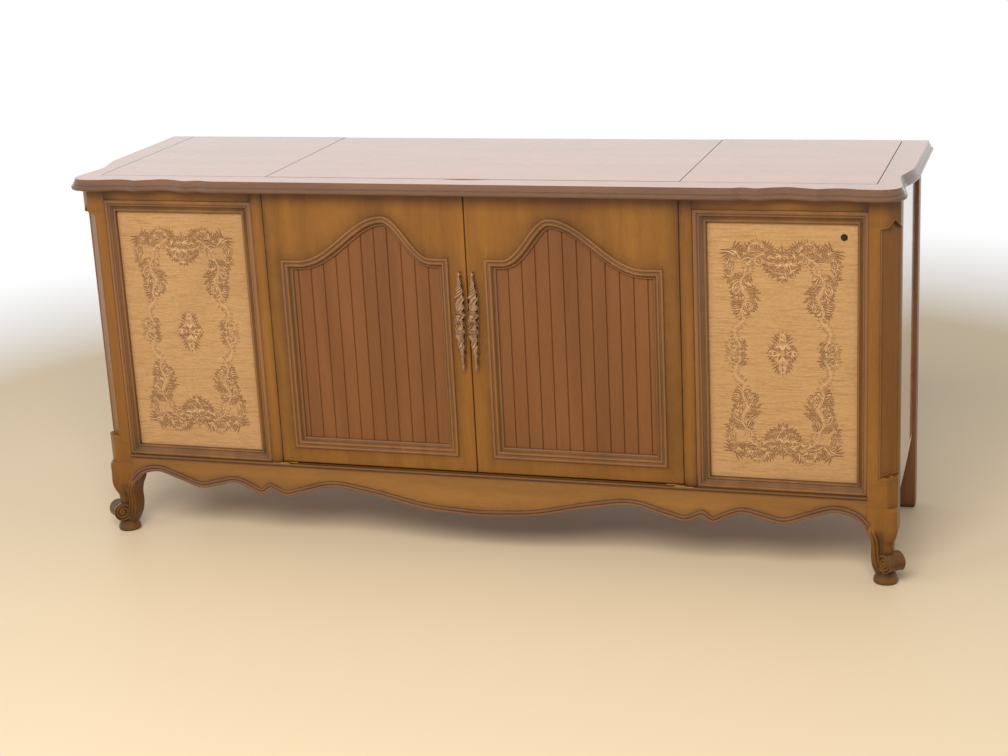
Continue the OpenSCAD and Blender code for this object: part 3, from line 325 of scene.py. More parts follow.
def noise(vector, scale, detail=4.0, rough=0.55, bend=0.0):
    return node(vector, "TexNoise", {"Vector": vector, "Scale": scale, "Detail": detail,
                                     "Roughness": rough, "Distortion": bend}).outputs["Fac"]


def band(value, low, high, to_low=0.0, to_high=1.0):
    """Stretches the part of a value between low and high over the new range."""
    return node(value, "MapRange", {"Value": value, "From Min": low, "From Max": high,
                                    "To Min": to_low, "To Max": to_high}).outputs[0]


def maths(what, a, b, clamp=False):
    return node(a, "Math", {0: a, 1: b}, operation=what, use_clamp=clamp).outputs[0]


def mul(a, b, clamp=False):
    return maths("MULTIPLY", a, b, clamp)


def add(a, b, clamp=False):
    return maths("ADD", a, b, clamp)


def blend(share, a, b):
    return node(share, "Mix", {0: share, 6: a, 7: b}, data_type="RGBA").outputs[2]


def glaze_and_shade(at):
    return node(at, "Attribute", attribute_name="shade").outputs["Fac"]


def surface(shader, colour, rough, height, depth, strength):
    """Colour and roughness into the shader, and a height of that depth in metres as its relief."""
    bump = node(shader, "Bump", {"Height": height, "Distance": depth, "Strength": strength})
    feed(shader, {"Base Color": colour, "Roughness": rough, "Normal": bump.outputs[0]})


print("middle grey is", srgb(128, 128, 128)[0], "in linear light")

# %% [markdown]
# ### Wood
# Grain runs up the stiles, posts and doors, and along the apron, rails and top. The pale and dark
# tones are close together, because fruitwood under an old lacquer shows little figure.

# %% Woods
GRAIN = {"X": (1.0, 13.0, 13.0), "Y": (13.0, 1.0, 13.0), "Z": (13.0, 13.0, 1.0)}
# the glaze tone, which the pores take too, also paints shade wherever the shade number is set
GLAZE_AND_SHADE_TONE, GLAZE_AND_SHADE_SHARE, PORE_SHARE, CLOUD_SHARE = srgb(38, 24, 14), 0.9, 0.35, 0.22


def wood(name, pale, dark, along, gloss=0.36, coat=0.12, coat_rough=0.2, figure=1.0, coat_ior=1.5,
         shine=0.22):
    """Tones mixed by figure and fibre, pores and clouds over them, and on top the rubbed glaze,
    which also lays the painted shade.
    """
    pale, dark = srgb(*pale), srgb(*dark)
    shader = finish(name, Coat_Weight=coat, Coat_Roughness=coat_rough, Coat_IOR=coat_ior,
                    Specular_IOR_Level=shine)
    grain = mapped(shader, GRAIN[along])
    broad = noise(grain, 1.7, 5.0, 0.5, 0.6 * figure)
    fibre = noise(grain, 34.0, 8.0, 0.7)
    pores = band(noise(grain, 95.0, 3.0, 0.6), 0.60, 0.72)
    cloud = band(noise(mapped(shader), 5.0, 3.0), 0.45, 0.7)
    rub = band(noise(mapped(shader), 42.0), 0.25, 0.75, 0.72, 1.18)
    colour = blend(add(mul(band(broad, 0.32, 0.68), 0.62), mul(band(fibre, 0.3, 0.7), 0.38)),
                   pale, dark)
    for share, tone in ((mul(pores, PORE_SHARE), GLAZE_AND_SHADE_TONE), (mul(cloud, CLOUD_SHARE), dark),
                        (mul(mul(glaze_and_shade(shader), rub, clamp=True), GLAZE_AND_SHADE_SHARE), GLAZE_AND_SHADE_TONE)):
        colour = blend(share, colour, tone)
    surface(shader, colour, band(fibre, 0.2, 0.8, gloss - 0.06, gloss + 0.08),
            maths("SUBTRACT", fibre, pores), 0.00012, 0.5)


FRONT = (144, 95, 35), (109, 68, 23)
VENEER = (184, 118, 75), (145, 87, 53)
INSIDE = (166, 122, 78), (136, 94, 56)
RUBBED = dict(gloss=0.28, coat=0.6)
POLISHED = dict(gloss=0.24, coat=1.0, coat_rough=0.08, figure=1.4, shine=0.3)
wood("front_wood_upright", *FRONT, "Z", figure=0.6)
wood("front_wood_level", *FRONT, "X")
wood("moulding_wood", (134, 88, 42), (100, 65, 30), "Z", **RUBBED)
wood("moulding_wood_level", (134, 88, 44), (100, 65, 31), "X", **RUBBED)
wood("boarded_wood", (121, 76, 40), (98, 60, 30), "Z", figure=0.5)
wood("apron_reed_wood", (122, 84, 50), (88, 58, 34), "X", gloss=0.26, coat=0.5)
wood("apron_wood", (144, 100, 48), (112, 75, 36), "X")
wood("rear_leg_wood", (156, 110, 69), (116, 76, 46), "Z")
wood("top_veneer", *VENEER, "X", **POLISHED)
wood("top_veneer_deep", *VENEER, "Y", **POLISHED)
wood("top_edge_wood", (122, 82, 52), (86, 56, 34), "X", gloss=0.28, coat=0.8, coat_rough=0.16)
wood("end_veneer", (180, 127, 88), (150, 102, 70), "Z", gloss=0.2, coat=1.0, coat_rough=0.06,
     coat_ior=1.85, shine=0.5)
# painted shade: near-black wood for the strips in the seams beside the lid
wood("seam_shadow_strip", (58, 38, 24), (40, 26, 16), "Y", gloss=0.8, coat=0.0, shine=0.05)
wood("inside_board", *INSIDE, "Z", gloss=0.6, coat=0.0)
wood("inside_board_level", *INSIDE, "X", gloss=0.6, coat=0.0)
print(len(finishes), "woods")

# %% [markdown]
# ### Metals, plastics and painted parts
# The pulls are cast and antiqued: bright where hands rub them, nearly black in the depths. Other
# metals differ in how rough they are and in the fine lines that rolling or turning leaves on them.

# %% Metals and plastics
LINES = {"X": (3, 400, 400), "Y": (400, 3, 400), None: (220, 220, 220)}


def metal(name, bright, deep, rough=0.35, lines=None, shiny=1.0, stain=0.5):
    """Two tones by the shade number and by cloudy stains, and fine lines along one axis."""
    shader = finish(name, Metallic=shiny)
    cloud = noise(mapped(shader), 60.0, 5.0, 0.65)
    share = add(glaze_and_shade(shader), mul(band(cloud, 0.4, 0.75), stain), clamp=True)
    surface(shader, blend(share, srgb(*bright), srgb(*deep)),
            band(cloud, 0.2, 0.8, rough - 0.08, rough + 0.14),
            noise(mapped(shader, LINES[lines]), 1.0, 3.0), 0.00008, 0.35)


def moulded(name, colour, dust, rough=0.4, coat=0.0):
    """Plastic or enamel: one colour, a little dust in it, and a fine orange peel."""
    shader = finish(name, Coat_Weight=coat)
    cloud = noise(mapped(shader), 25.0, 6.0, 0.7)
    share = add(mul(glaze_and_shade(shader), 0.7), band(cloud, 0.5, 0.9, 0, 0.3), clamp=True)
    surface(shader, blend(share, srgb(*colour), srgb(*dust)),
            band(cloud, 0.3, 0.8, rough - 0.08, rough + 0.12),
            noise(mapped(shader), 900.0, 2.0), 0.00005, 0.3)


metal("antique_cast_brass", (196, 158, 122), (92, 64, 42), 0.42, shiny=0.8, stain=0.4)
metal("stamped_brass", (182, 154, 96), (112, 88, 50), 0.3)
metal("plated_steel", (196, 196, 192), (128, 126, 120), 0.26, "Y", stain=0.3)
metal("zinc_chassis", (172, 174, 172), (120, 122, 120), 0.45, "X", 0.8)
metal("tuner_face", (206, 196, 170), (168, 156, 128), 0.34, "X", 0.55, stain=0.25)
metal("tone_arm_metal", (150, 148, 142), (96, 92, 86), 0.28, "Y", stain=0.3)
moulded("dial_paint", (240, 226, 188), (206, 190, 150), 0.5)
moulded("black_plastic", (30, 28, 27), (88, 82, 74), 0.34)
moulded("speaker_black", (26, 26, 27), (70, 66, 60), 0.7)
moulded("changer_enamel", (112, 102, 86), (84, 74, 60), 0.35, 0.4)
moulded("platter_rubber", (44, 43, 42), (84, 80, 74), 0.5)
moulded("pointer_red", (196, 52, 34), (150, 40, 30), 0.35)
moulded("pressed_board", (104, 76, 52), (72, 52, 36), 0.8)
# the glass is clear, with a slight tint and a few streaks of dust in its roughness
pane = finish("dial_glass", Transmission_Weight=0.92, IOR=1.46)
streak = noise(mapped(pane, (4, 60, 4)), 8.0, 4.0)
feed(pane, {"Base Color": blend(streak, srgb(236, 244, 238), srgb(210, 222, 214)),
            "Roughness": band(streak, 0.3, 0.8, 0.03, 0.12)})
print(len(finishes), "finishes so far")

# %% [markdown]
# ## Dressing the built parts
# Boards, panels and works whose built shape is right only need their finish.

# %% Finishes for the built parts
DRESS = {
    "top_veneer": "lid top_panels", "end_veneer": "end_panels",
    "boarded_wood": "door_panel_left door_panel_right",
    "inside_board": "partitions record_dividers baffles",
    "inside_board_level": "bottom_board storage_ceiling motor_board top_rails",
    "front_wood_level": "fascia", "pressed_board": "back_panel",
    "stamped_brass": "door_fittings door_ironwork_left door_ironwork_right lid_fittings "
                     "lid_hinge_wings",
    "plated_steel": "back_screws stay_tube stay_rod spindle record_arm",
    "zinc_chassis": "amplifier tuner_chassis", "tuner_face": "tuner_panel",
    "dial_glass": "dial_glass", "changer_enamel": "changer_plate", "platter_rubber": "platter",
    "tone_arm_metal": "tone_arm", "speaker_black": "speakers", "pointer_red": "dial_pointer",
    "black_plastic": "arm_post mains_inlet knob_tuning knob_volume knob_tone"}
for material, names in DRESS.items():
    for name in names.split():
        for held in nodes[name].material_slots:
            held.material = finishes[material]
    print(material, "on", names)

# %% [markdown]
# ## Shared levels
# The front pieces share a few planes. They are read from the model where a part gives them, and
# the rest are the driving sizes of the construction, in millimetres.

# %% Levels
(_, front_y, floor_z), (stile_out, face_back, under_top) = span("door_stiles")
(meet_x, _, door_foot), (door_edge, door_back, door_head) = span("door_frame_right")
(_, strip_y, _), (strip_x, back_y, _) = span("top_panels")
lid_edge, lid_back, total_h = span("lid")[1]
cloth_y = span("grille_right")[0, 1]
half_w = span("top_corner_right")[1, 0]
POST_W, END_OVER, MOULD_OUT = 54.0, 16.0, 9.0
post_x = half_w - END_OVER
post_in = post_x - POST_W
frieze_low = span("friezes")[0, 2]
top_t = total_h - under_top
arris_x, arris_y = half_w - MOULD_OUT, -back_y + MOULD_OUT
print("face", front_y, "case", floor_z, under_top, "post", post_in, post_x)

# %% [markdown]
# ## Beams: rails, stiles and friezes
# A sawn board has slightly rounded arrises, and they are what the light catches. So each is a
# rounded rectangle carried along its length. Its glaze is darker at the arrises and the ends,
# and falls off as exp(-distance / reach), because that is where a rag leaves it.

# %% Rounded boards


def beam(low, high, axis, end=0.45, arris=1.2):
    """Rounded rectangle carried from low to high along axis. A few points along each long side
    let the glaze fade across the face."""
    low, high = array(low, float), array(high, float)
    across = [k for k in range(3) if k != axis]
    rim = concatenate(round_box(*zip(low[across], high[across]), [arris] * 4, 3, 180))
    share = array([0, 0.08, 0.2, 0.5, 0.8, 0.92])[:, None]
    rim = concatenate([p + (q - p) * share if np.linalg.norm(q - p) > 4 * arris else [p]
                       for p, q in zip(rim, np.roll(rim, -1, 0))])
    t = np.sort(concatenate([linspace(0, 1, 26), [0.004, 0.012, 0.988, 0.996]]))
    run = low[axis] + (high[axis] - low[axis]) * t
    points = np.empty((len(run), len(rim), 3))
    points[..., axis] = run[:, None]
    points[..., across] = rim
    size = high - low
    k = across[0] if size[across[0]] > size[across[1]] else across[1]
    off = minimum(points[..., k] - low[k], high[k] - points[..., k])
    reach = minimum(run - low[axis], high[axis] - run)[:, None]
    return bar(points, 0.05 + 0.55 * fade(off, 5.0) + end * fade(reach, 22.0))


def both_hands(patches):
    return patches + mirrored(patches)


stile = beam([door_edge + 0.8, front_y, floor_z], [stile_out, face_back, under_top], 2)
piece("stiles", both_hands([stile]), "front_wood_upright", hides=["door_stiles"])
frieze = beam([stile_out, front_y, frieze_low], [post_in, face_back, under_top], 0, end=0.6)
piece("frieze_rails", both_hands([frieze]), "front_wood_level", hides=["friezes"])

# %% [markdown]
# ## The top
# Its edge wanders in and out near the corners. The moulding is carried along that wandering line,
# and the flat of the top reaches from it to the seams. In the middle, the back edge gives way to
# a shallow finger scoop, where the lid is lifted.

# %% Serpentine top edge
# inwards and backwards from the corner of the outline
WAVE = knots(300, 0, 280, 7, 254, 0.4, 226, 10, 200, 15, 172, 8, 147, 0)
CORNER = knots(147, 0, 125, 7, 103, 9, 79, 3, 56, 0.5, 33, 1.2, 14, 10, 5, 27, 6, 46, 13, 88,
               16, 123, 9, 152, 2, 185, 0, 205)
# shares of the way up and of the way out
EDGE_SECTION = knots(0, 0.45, 0.06, 0.82, 0.18, 1, 0.32, 0.97, 0.41, 0.78, 0.44, 0.56, 0.54, 0.5,
                     0.68, 0.33, 0.82, 0.12, 0.93, 0.04, 1, 0)
SCOOP_HALF, SCOOP_IN, SCOOP_DEEP = 46.0, 7.0, 12.0


def from_corner(k):
    return smooth([arris_x, arris_y] + k * [-1, 1], 8)


def under(points):
    return points * [1, 1, 0] + [0, 0, under_top]


def top_edge(path, inner, ends):
    """Moulding section from below, then across the flat to the inner line, where a groove makes
    the joint to the panels dark, and back underneath."""
    rise, out = smooth(EDGE_SECTION, 3).T
    edge = carried(path, stack([-out * MOULD_OUT, under_top + rise * top_t], 1), ends=ends)
    arris = edge[:, -1:]
    level = raised(inner[:, None], total_h)
    groove = level - unit(level - arris) * array([1.7, 1.2, 0.0])[:, None]
    groove[..., 2] = total_h - array([0.0, 0.9, 2.6])
    flat = arris + (level - arris) * array([0.02, 0.06, 0.2, 0.6])[:, None]
    points = joined(edge, flat, groove, under(groove[:, -1:]))
    # glaze in the quirk at mid-height; painted shade on the lowest round, which faces down; a
    # little lighter at the top arris
    hollow = (0.15 + 0.5 * fade(abs(rise - 0.47), 0.05) + 0.4 * fade(rise, 0.1)
              - 0.1 * fade(1 - rise, 0.1))
    shade = concatenate([hollow, [0.1, 0.05, 0.0, 0.0, 0.2, 1.0, 1.0, 0.5]])
    return points, np.broadcast_to(shade, points.shape[:2])


def scooped_edge():
    """The middle length. Its back has the wall of the scoop, the scoop's floor, and the rest."""
    wave = from_corner(WAVE)
    straight = linspace(-1, 1, 61)[1:-1, None] * wave[0] * [1, 0] + wave[0] * [0, 1]
    path = vstack([wave[::-1] * [-1, 1], straight, wave])
    inner = stack([path[:, 0], np.full(len(path), strip_y)], 1)
    r = (SCOOP_HALF**2 + SCOOP_IN**2) / (2 * SCOOP_IN)
    bite = np.sqrt(clip(r**2 - inner[:, 0] ** 2, 0, None)) - (r - SCOOP_IN)
    bite = np.where(abs(inner[:, 0]) < SCOOP_HALF, clip(bite, 0.01, None), 0.01)
    scooped = inner - stack([0 * bite, bite], 1)
    points, shade = top_edge(path, scooped, ([0, 1], [0, 1]))
    wall, ledge = (raised(line[:, None], total_h - SCOOP_DEEP) for line in (scooped, inner))
    return bar(joined(points[:, :-1], wall, ledge, under(ledge)),
               joined(shade[:, :-1], np.tile([1.0, 1.0, 0.6], (len(bite), 1))))


def edge_piece(hand, patches, veneer, hides):
    """The veneer ends at the arris: all faces under the flat take the solid edge's finish."""
    mesh = piece("top_edge_" + hand, patches, veneer, hides=[hides]).data
    mesh.materials.append(finishes["top_edge_wood"])
    middle = np.empty(3 * len(mesh.polygons))
    mesh.polygons.foreach_get("center", middle)
    lower = middle[2::3] < (total_h - 0.02) * MM
    mesh.polygons.foreach_set("material_index", lower.astype(np.int32))


def seam_shadow_strip():
    """A thin near-black strip in the gap beside the lid, 0.4 mm below the flat: painted shade, so
    the seam reads dark.
    """
    y = linspace(strip_y + 1.6, lid_back - 1.0, 30)[:, None]
    across, drop = array([[0.12, 0.12, 0.4, 1.1, 1.38, 1.38], [4.0, 0.6, 0.4, 0.4, 0.6, 4.0]])
    return bar(meeting(lid_edge + across, y, total_h - drop), 0.8)


edge_piece("front", [scooped_edge()], "top_veneer", "top_front_edge")
corner_path = vstack([from_corner(CORNER), [[arris_x, back_y]]])
inner_corner = stack([minimum(corner_path[:, 0], strip_x),
                      np.maximum(corner_path[:, 1], strip_y)], 1)
corner_edge = [bar(*top_edge(corner_path, inner_corner, ([0, 1], [-1, 0])))]
for hand, turned in HANDS.items():
    edge_piece(hand, turned(corner_edge), "top_veneer_deep", "top_corner_" + hand)
piece("lid_seam_shadow_strips", both_hands([seam_shadow_strip()]), "seam_shadow_strip")

# %% [markdown]
# ## The doors
# Each door is a flat frame round an arched opening. The frame is a band of surface between two
# loops: the arch inside and the door's edge outside, with v running from one to the other.
# The glaze lies thick beside the moulding and along the edges, and is wiped off between.

# %% The arch
ARCH_LEFT, ARCH_RIGHT = meet_x + 34.0, door_edge - 30.0
ARCH_FOOT = door_foot + 31.0
SHOULDER_IN, SHOULDER_OUT, CROWN = door_head - 120.0, door_head - 131.0, door_head - 41.0
SHOULDER_IN_X, CROWN_X, SHOULDER_OUT_X = 69.0, 163.0, 340.0
MOULD_SEAT, DOOR_PANEL_IN = 11.0, 9.0


def arch_z(x):
    """Half a cosine wave up from the inner shoulder to the crown, and another down."""
    def ease(t):
        return (1 - cos(pi * clip(t, 0, 1))) / 2
    up = SHOULDER_IN + (CROWN - SHOULDER_IN) * ease((x - SHOULDER_IN_X) / (CROWN_X - SHOULDER_IN_X))
    down = CROWN + (SHOULDER_OUT - CROWN) * ease((x - CROWN_X) / (SHOULDER_OUT_X - CROWN_X))
    return np.where(x < CROWN_X, up, down)


def side_of(a, b, n):
    return array(a) + (array(b) - a) * linspace(0, 1, n, endpoint=False)[:, None]


def door_loop(left, right, foot, head, head_left, head_right):
    """Counter-clockwise from the lower inner corner; head is the row of points over the opening."""
    return vstack([side_of([left, foot], [right, foot], 12),
                   side_of([right, foot], [right, head_right], 14), head,
                   side_of([left, head_left], [left, foot], 14)])


arch_x = concatenate([linspace(a, b, n, endpoint=False) for a, b, n in (
    (ARCH_RIGHT, SHOULDER_OUT_X, 3), (SHOULDER_OUT_X, CROWN_X, 26), (CROWN_X, SHOULDER_IN_X, 26),
    (SHOULDER_IN_X, ARCH_LEFT, 3))])
arch_loop = door_loop(ARCH_LEFT, ARCH_RIGHT, ARCH_FOOT, stack([arch_x, arch_z(arch_x)], 1),
                      SHOULDER_IN, SHOULDER_OUT)
edge_x = meet_x + (arch_x - ARCH_LEFT) / (ARCH_RIGHT - ARCH_LEFT) * (door_edge - meet_x)
edge_loop = door_loop(meet_x, door_edge, door_foot,
                      stack([edge_x, np.full(len(edge_x), door_head)], 1), door_head, door_head)
print("crown", CROWN, "mm up,", len(arch_loop), "points round the opening")

# %% Door frames


def to_loop(points, a):
    """Shortest distance from each point to the corners and edges of a closed loop."""
    way = np.roll(a, -1, 0) - a
    t = ((points[..., None, :] - a) * way).sum(-1) / (way * way).sum(-1)
    foot = a + clip(t, 0, 1)[..., None] * way
    return np.linalg.norm(points[..., None, :] - foot, axis=-1).min(-1)


def door_frame(arris=1.5):
    inner = arch_loop + mitre(arch_loop, True) * MOULD_SEAT
    across = edge_loop - inner
    width = np.linalg.norm(across, axis=1)[:, None]
    face = array([0, 0.12, 0.22, 0.32, 0.42, 0.52, 0.62, 0.72, 0.82, 0.9, 0.96, 1])
    round_off = radians([30, 60, 90])
    reach = joined(face * (width - arris), width - arris + arris * sin(round_off),
                   width, 0 * width)
    depth = concatenate([0 * face, arris * (1 - cos(round_off)), [door_back - front_y] * 2])
    flat = inner[:, None] + (across / width)[:, None] * reach[..., None]
    x, z = flat[..., 0], flat[..., 1]
    to_edge = minimum.reduce([door_edge - x, z - door_foot, door_head - z])
    # glaze with painted shade: darker towards the top, against the stronger light on the upper
    # frame, and lighter near the meeting edge
    height_shade = interp(z, [150, 300, 560, 700], [0.04, 0.11, 0.14, 0.15])
    height_shade = height_shade * (1 - 0.9 * fade(x - meet_x, 60.0))
    shade = (height_shade + 0.42 * fade(to_loop(flat, arch_loop), 12.0) + 0.26 * fade(to_edge, 8.0)
             + 0.2 * fade(door_edge - x, 16.0))
    return ring(on_front(raised(flat, (depth + front_y)[:, None])), clip(shade, 0, 0.95))


door_face = [door_frame()]
for hand, turned in HANDS.items():
    piece(f"door_{hand}_frame", turned(door_face), "front_wood_upright",
          "door_" + hand, ["door_frame_" + hand])

# %% [markdown]
# ### The moulding round the boards
# One section, carried round the arch. It stands a little proud of the frame, turns over a bead and
# falls to the boards in a cove. The glaze gathers in the quirks of the section, and rubbing has
# bared the tops of the beads: each point's glaze depends on how deep it lies.

# %% Door mouldings
# inwards from the moulding's outer edge, and back from the face of the door
DOOR_SECTION = knots(0, 0, 0.1, -1.7, 0.9, -3.4, 2.4, -4.0, 4.2, -3.9, 5.3, -2.9, 5.9, -1.6,
                     7.2, -1.2, 8.4, -1.5, 9.4, -2.7, 10.8, -3.1, 12.2, -2.6, 13.6, -0.6, 15.0, 2.4,
                     16.4, 4.2, 17.6, 4.9, 18.2, 4.6, 19.2, 4.9, 20.2, 5.9, 21.0, 6.9)


def quirks(section, reach=1.6):
    """Glaze by depth: how far a point lies behind the running mean of its neighbours."""
    out = -section[:, 1]
    level = np.convolve(np.pad(out, 6, mode="edge"), np.ones(13) / 13, "valid")
    return clip(0.6 * (level - out) / reach + 0.2, 0, 0.8)


def door_moulding():
    face = smooth(DOOR_SECTION, 3)
    back = knots(21.0, DOOR_PANEL_IN, MOULD_SEAT, DOOR_PANEL_IN, MOULD_SEAT, 0)
    shade = concatenate([quirks(face), [1, 1, 1]])
    shade[:2], shade[len(face) - 3:] = 0.6, 0.7
    grid = carried(arch_loop, vstack([face, back]) + [0, front_y], loop=True)
    return ring(on_front(grid), shade)


arch_moulding = [door_moulding()]
for hand, turned in HANDS.items():
    piece(f"door_{hand}_moulding", turned(arch_moulding), "moulding_wood",
          "door_" + hand, ["door_moulding_" + hand])

# %% [markdown]
# ## The speaker bays
# A picture-frame moulding holds the cloth. Its four lengths differ in width, so the corner points
# are given twice, on the outer and the inner rectangle, and the section lies between them.

# %% Speaker frames
CLOTH_X = array([stile_out + 24.5, post_in - 19.5])
CLOTH_Z = array([floor_z + 19.5, frieze_low - 24.5])
# shares of the way in to the cloth's opening and of the way back to the cloth
FRAME_SECTION = knots(0, 0.3, 0.0, 0.12, 0.04, 0.03, 0.1, 0.0, 0.2, 0.0, 0.28, 0.05, 0.34, 0.17,
                      0.40, 0.2, 0.45, 0.19, 0.5, 0.29, 0.56, 0.42, 0.64, 0.53, 0.72, 0.6,
                      0.76, 0.6, 0.79, 0.5, 0.84, 0.45, 0.9, 0.46, 0.95, 0.53, 1, 0.64)


def rectangle(x, z, n=15):
    """Points along each side, so that the glaze can gather in the mitres."""
    corners = array([[x[0], z[0]], [x[1], z[0]], [x[1], z[1]], [x[0], z[1]]])
    return concatenate([side_of(a, b, n) for a, b in zip(corners, np.roll(corners, -1, 0))])


def speaker_frame():
    face = smooth(FRAME_SECTION, 3)
    section = vstack([[[0, 1]], face, [[1, 1]]])
    depth = cloth_y - front_y
    shade = concatenate([[0.7], quirks(face * [1, depth], 1.3), [0.7]])
    shade[-3:] = 0.5
    outer = rectangle((stile_out, post_in), (floor_z, frieze_low))
    inner = rectangle(CLOTH_X, CLOTH_Z)
    flat = outer[:, None] + (inner - outer)[:, None] * section[:, :1]
    t = linspace(0, 1, 15, endpoint=False)
    gather = np.tile(0.35 * fade(minimum(t, 1 - t), 0.06), 4)[:, None]
    return ring(on_front(raised(flat, front_y + section[:, 1:] * depth)), shade + gather)


bay = [speaker_frame()]
for hand, turned in HANDS.items():
    piece("speaker_moulding_" + hand, turned(bay), "moulding_wood",
          hides=["speaker_frame_" + hand])

# %% [markdown]
# ### Grille cloth
# The cloth is a coarse flat weave with slubs, thick places in the weft that show as short dark
# dashes. Two crossed waves give the threads, and noises stretched along X give the slubs. Age has
# darkened it unevenly. It is one sheet, stretched over a thin board, and the board is a beam.

# %% Grille cloth
CLOTH_T, FRAME_HIDE = 0.6, 6.0


def woven(name, pale, dark, threads=1.0):
    pale, dark = srgb(*pale), srgb(*dark)
    shader = finish(name, Sheen_Weight=0.25, Sheen_Roughness=0.5)
    weft, warp = (node(shader, "TexWave", {"Vector": mapped(shader), "Scale": scale * threads,
                                           "Distortion": 0.6, "Detail": 1.0}, bands_direction=way)
                  .outputs["Fac"] for way, scale in (("Z", 230), ("X", 190)))
    slub, long_slub, fine = (noise(mapped(shader, scale), 1.0, 2.0, rough, bend)
                             for scale, rough, bend in (((26, 1, 330), 0.5, 0.0),
                                                        ((9, 1, 210), 0.5, 0.3),
                                                        ((120, 1, 700), 0.6, 0.0)))
    age = noise(mapped(shader), 4.5, 4.0, 0.55, 0.6)
    weave = mul(weft, warp)
    share = add(mul(band(slub, 0.48, 0.68), 0.34), mul(band(long_slub, 0.55, 0.75), 0.22))
    share = add(share, mul(band(fine, 0.35, 0.7), 0.4))
    colour = blend(add(share, mul(weave, 0.1), clamp=True), pale, dark)
    colour = blend(band(age, 0.45, 0.75, 0.0, 0.35), colour, dark)
    # painted shade: the shade number, set only at the cloth's edges, darkens it towards brown
    colour = blend(mul(glaze_and_shade(shader), 0.6), colour, srgb(92, 64, 36))
    surface(shader, colour, band(slub, 0.3, 0.7, 0.72, 0.9), add(weave, slub), 0.0004, 0.6)


def cloth_sheet():
    """Flat over the opening, with a slack of a few tenths: a sin(pi s) sin(pi t)."""
    s, t = np.meshgrid(linspace(0, 1, 61), linspace(0, 1, 105), indexing="ij")
    x, z = (low + (high - low) * v for low, high, v in zip(cloth_low, cloth_high, (s, t)))
    y = cloth_y - 0.35 * sin(pi * s) * sin(pi * t)
    inset = minimum.reduce([x - CLOTH_X[0], CLOTH_X[1] - x, z - CLOTH_Z[0], CLOTH_Z[1] - z])
    # painted shade along the frame's inner edge and under the frame
    return patch(stack([x, y, z], -1), looks=ROOM, shade=0.4 * fade(inset, 3.0))


woven("grille_cloth", (181, 140, 92), (139, 102, 60))
cloth_low, cloth_high = stack([CLOTH_X, CLOTH_Z], 1) + [[-FRAME_HIDE], [FRAME_HIDE]]
cloth_board = beam([stile_out + 1, cloth_y + CLOTH_T, floor_z + 1],
                   [post_in - 1, face_back, frieze_low - 1], 2)
cloths = {}
for hand, turned in HANDS.items():
    cloths[hand] = piece("grille_cloth_" + hand, turned([cloth_sheet()]), "grille_cloth",
                         hides=["grille_" + hand])
    thick = cloths[hand].modifiers.new("thickness", "SOLIDIFY")
    thick.thickness, thick.offset = CLOTH_T * MM, -1.0
    piece("grille_board_" + hand, turned([cloth_board]), "inside_board")

# %% [markdown]
# ### The woven ornament
# The brocade is a traditional border of leaf scrolls round a small medallion. It is laid out here
# from one leaf shape. A leaf starts at a point, in a direction, and bends as it goes; its width is
# sin(pi t^0.75), widest before the middle, and it is slightly arched across. All the leaves of a
# cloth are one array of shape (leaves, along, across), so hundreds cost no loop.

# %% Leaves and threads
LEAF_PROUD = 0.22
woven("leaf_yarn", (132, 92, 52), (98, 66, 36), 1.6)
woven("light_yarn", (206, 165, 118), (168, 126, 82), 1.6)


def leaves(rows, along=7):
    """rows of x, z, angle, length, width, bend. Centre line: the angle turns by bend * t."""
    x, z, angle, length, width, bend = rows.T[:, :, None]
    t = linspace(0, 1, along)[None]
    heading = angle + bend * t
    step = length / (along - 1)
    cx = x + np.cumsum(cos(heading), 1) * step - cos(angle) * step
    cz = z + np.cumsum(sin(heading), 1) * step - sin(angle) * step
    half = (width / 2 * sin(pi * t**0.75))[..., None]
    s = array([-1.0, 0.0, 1.0])
    px = cx[..., None] - sin(heading)[..., None] * half * s
    pz = cz[..., None] + cos(heading)[..., None] * half * s
    py = cloth_y - 0.42 - LEAF_PROUD * (1 - s**2) * sin(pi * t)[..., None] + 0 * px
    return stack([px, py, pz], -1)


def many(grids):
    """Many equal grids of shape (n, i, j, 3) as one open patch that faces the room."""
    n, nu, nv = grids.shape[:3]
    faces = array(patch(grids[0], looks=ROOM)[1]) + (np.arange(n) * nu * nv)[:, None, None]
    return grids.reshape(-1, 3), faces.reshape(-1, 4).tolist(), np.zeros(n * nu * nv)


def thread(path, width):
    """A flat ribbon of yarn along a path in the plane of the cloth."""
    t = linspace(0, 1, len(path))[:, None]
    half = mitre(path) * width / 2 * clip(minimum(t, 1 - t) * 12, 0.15, 1)
    ribbon = path[:, None] + half[:, None] * array([-1, 0, 1])[:, None]
    proud = cloth_y - 0.75 - LEAF_PROUD * array([[0], [1], [0]])
    return patch(on_front(raised(ribbon, proud)), looks=ROOM)


# %% [markdown]
# The layout is drawn for one quarter and mirrored across both middle lines. A stem winds down the
# side, with pairs of leaves that lean away from it and bare arcs between the leafy stretches. Fans
# of leaves stand at the head and the corners; the medallion is fans set back to back
# round a floret, with drops above and below and small lobes beside it in the light yarn.

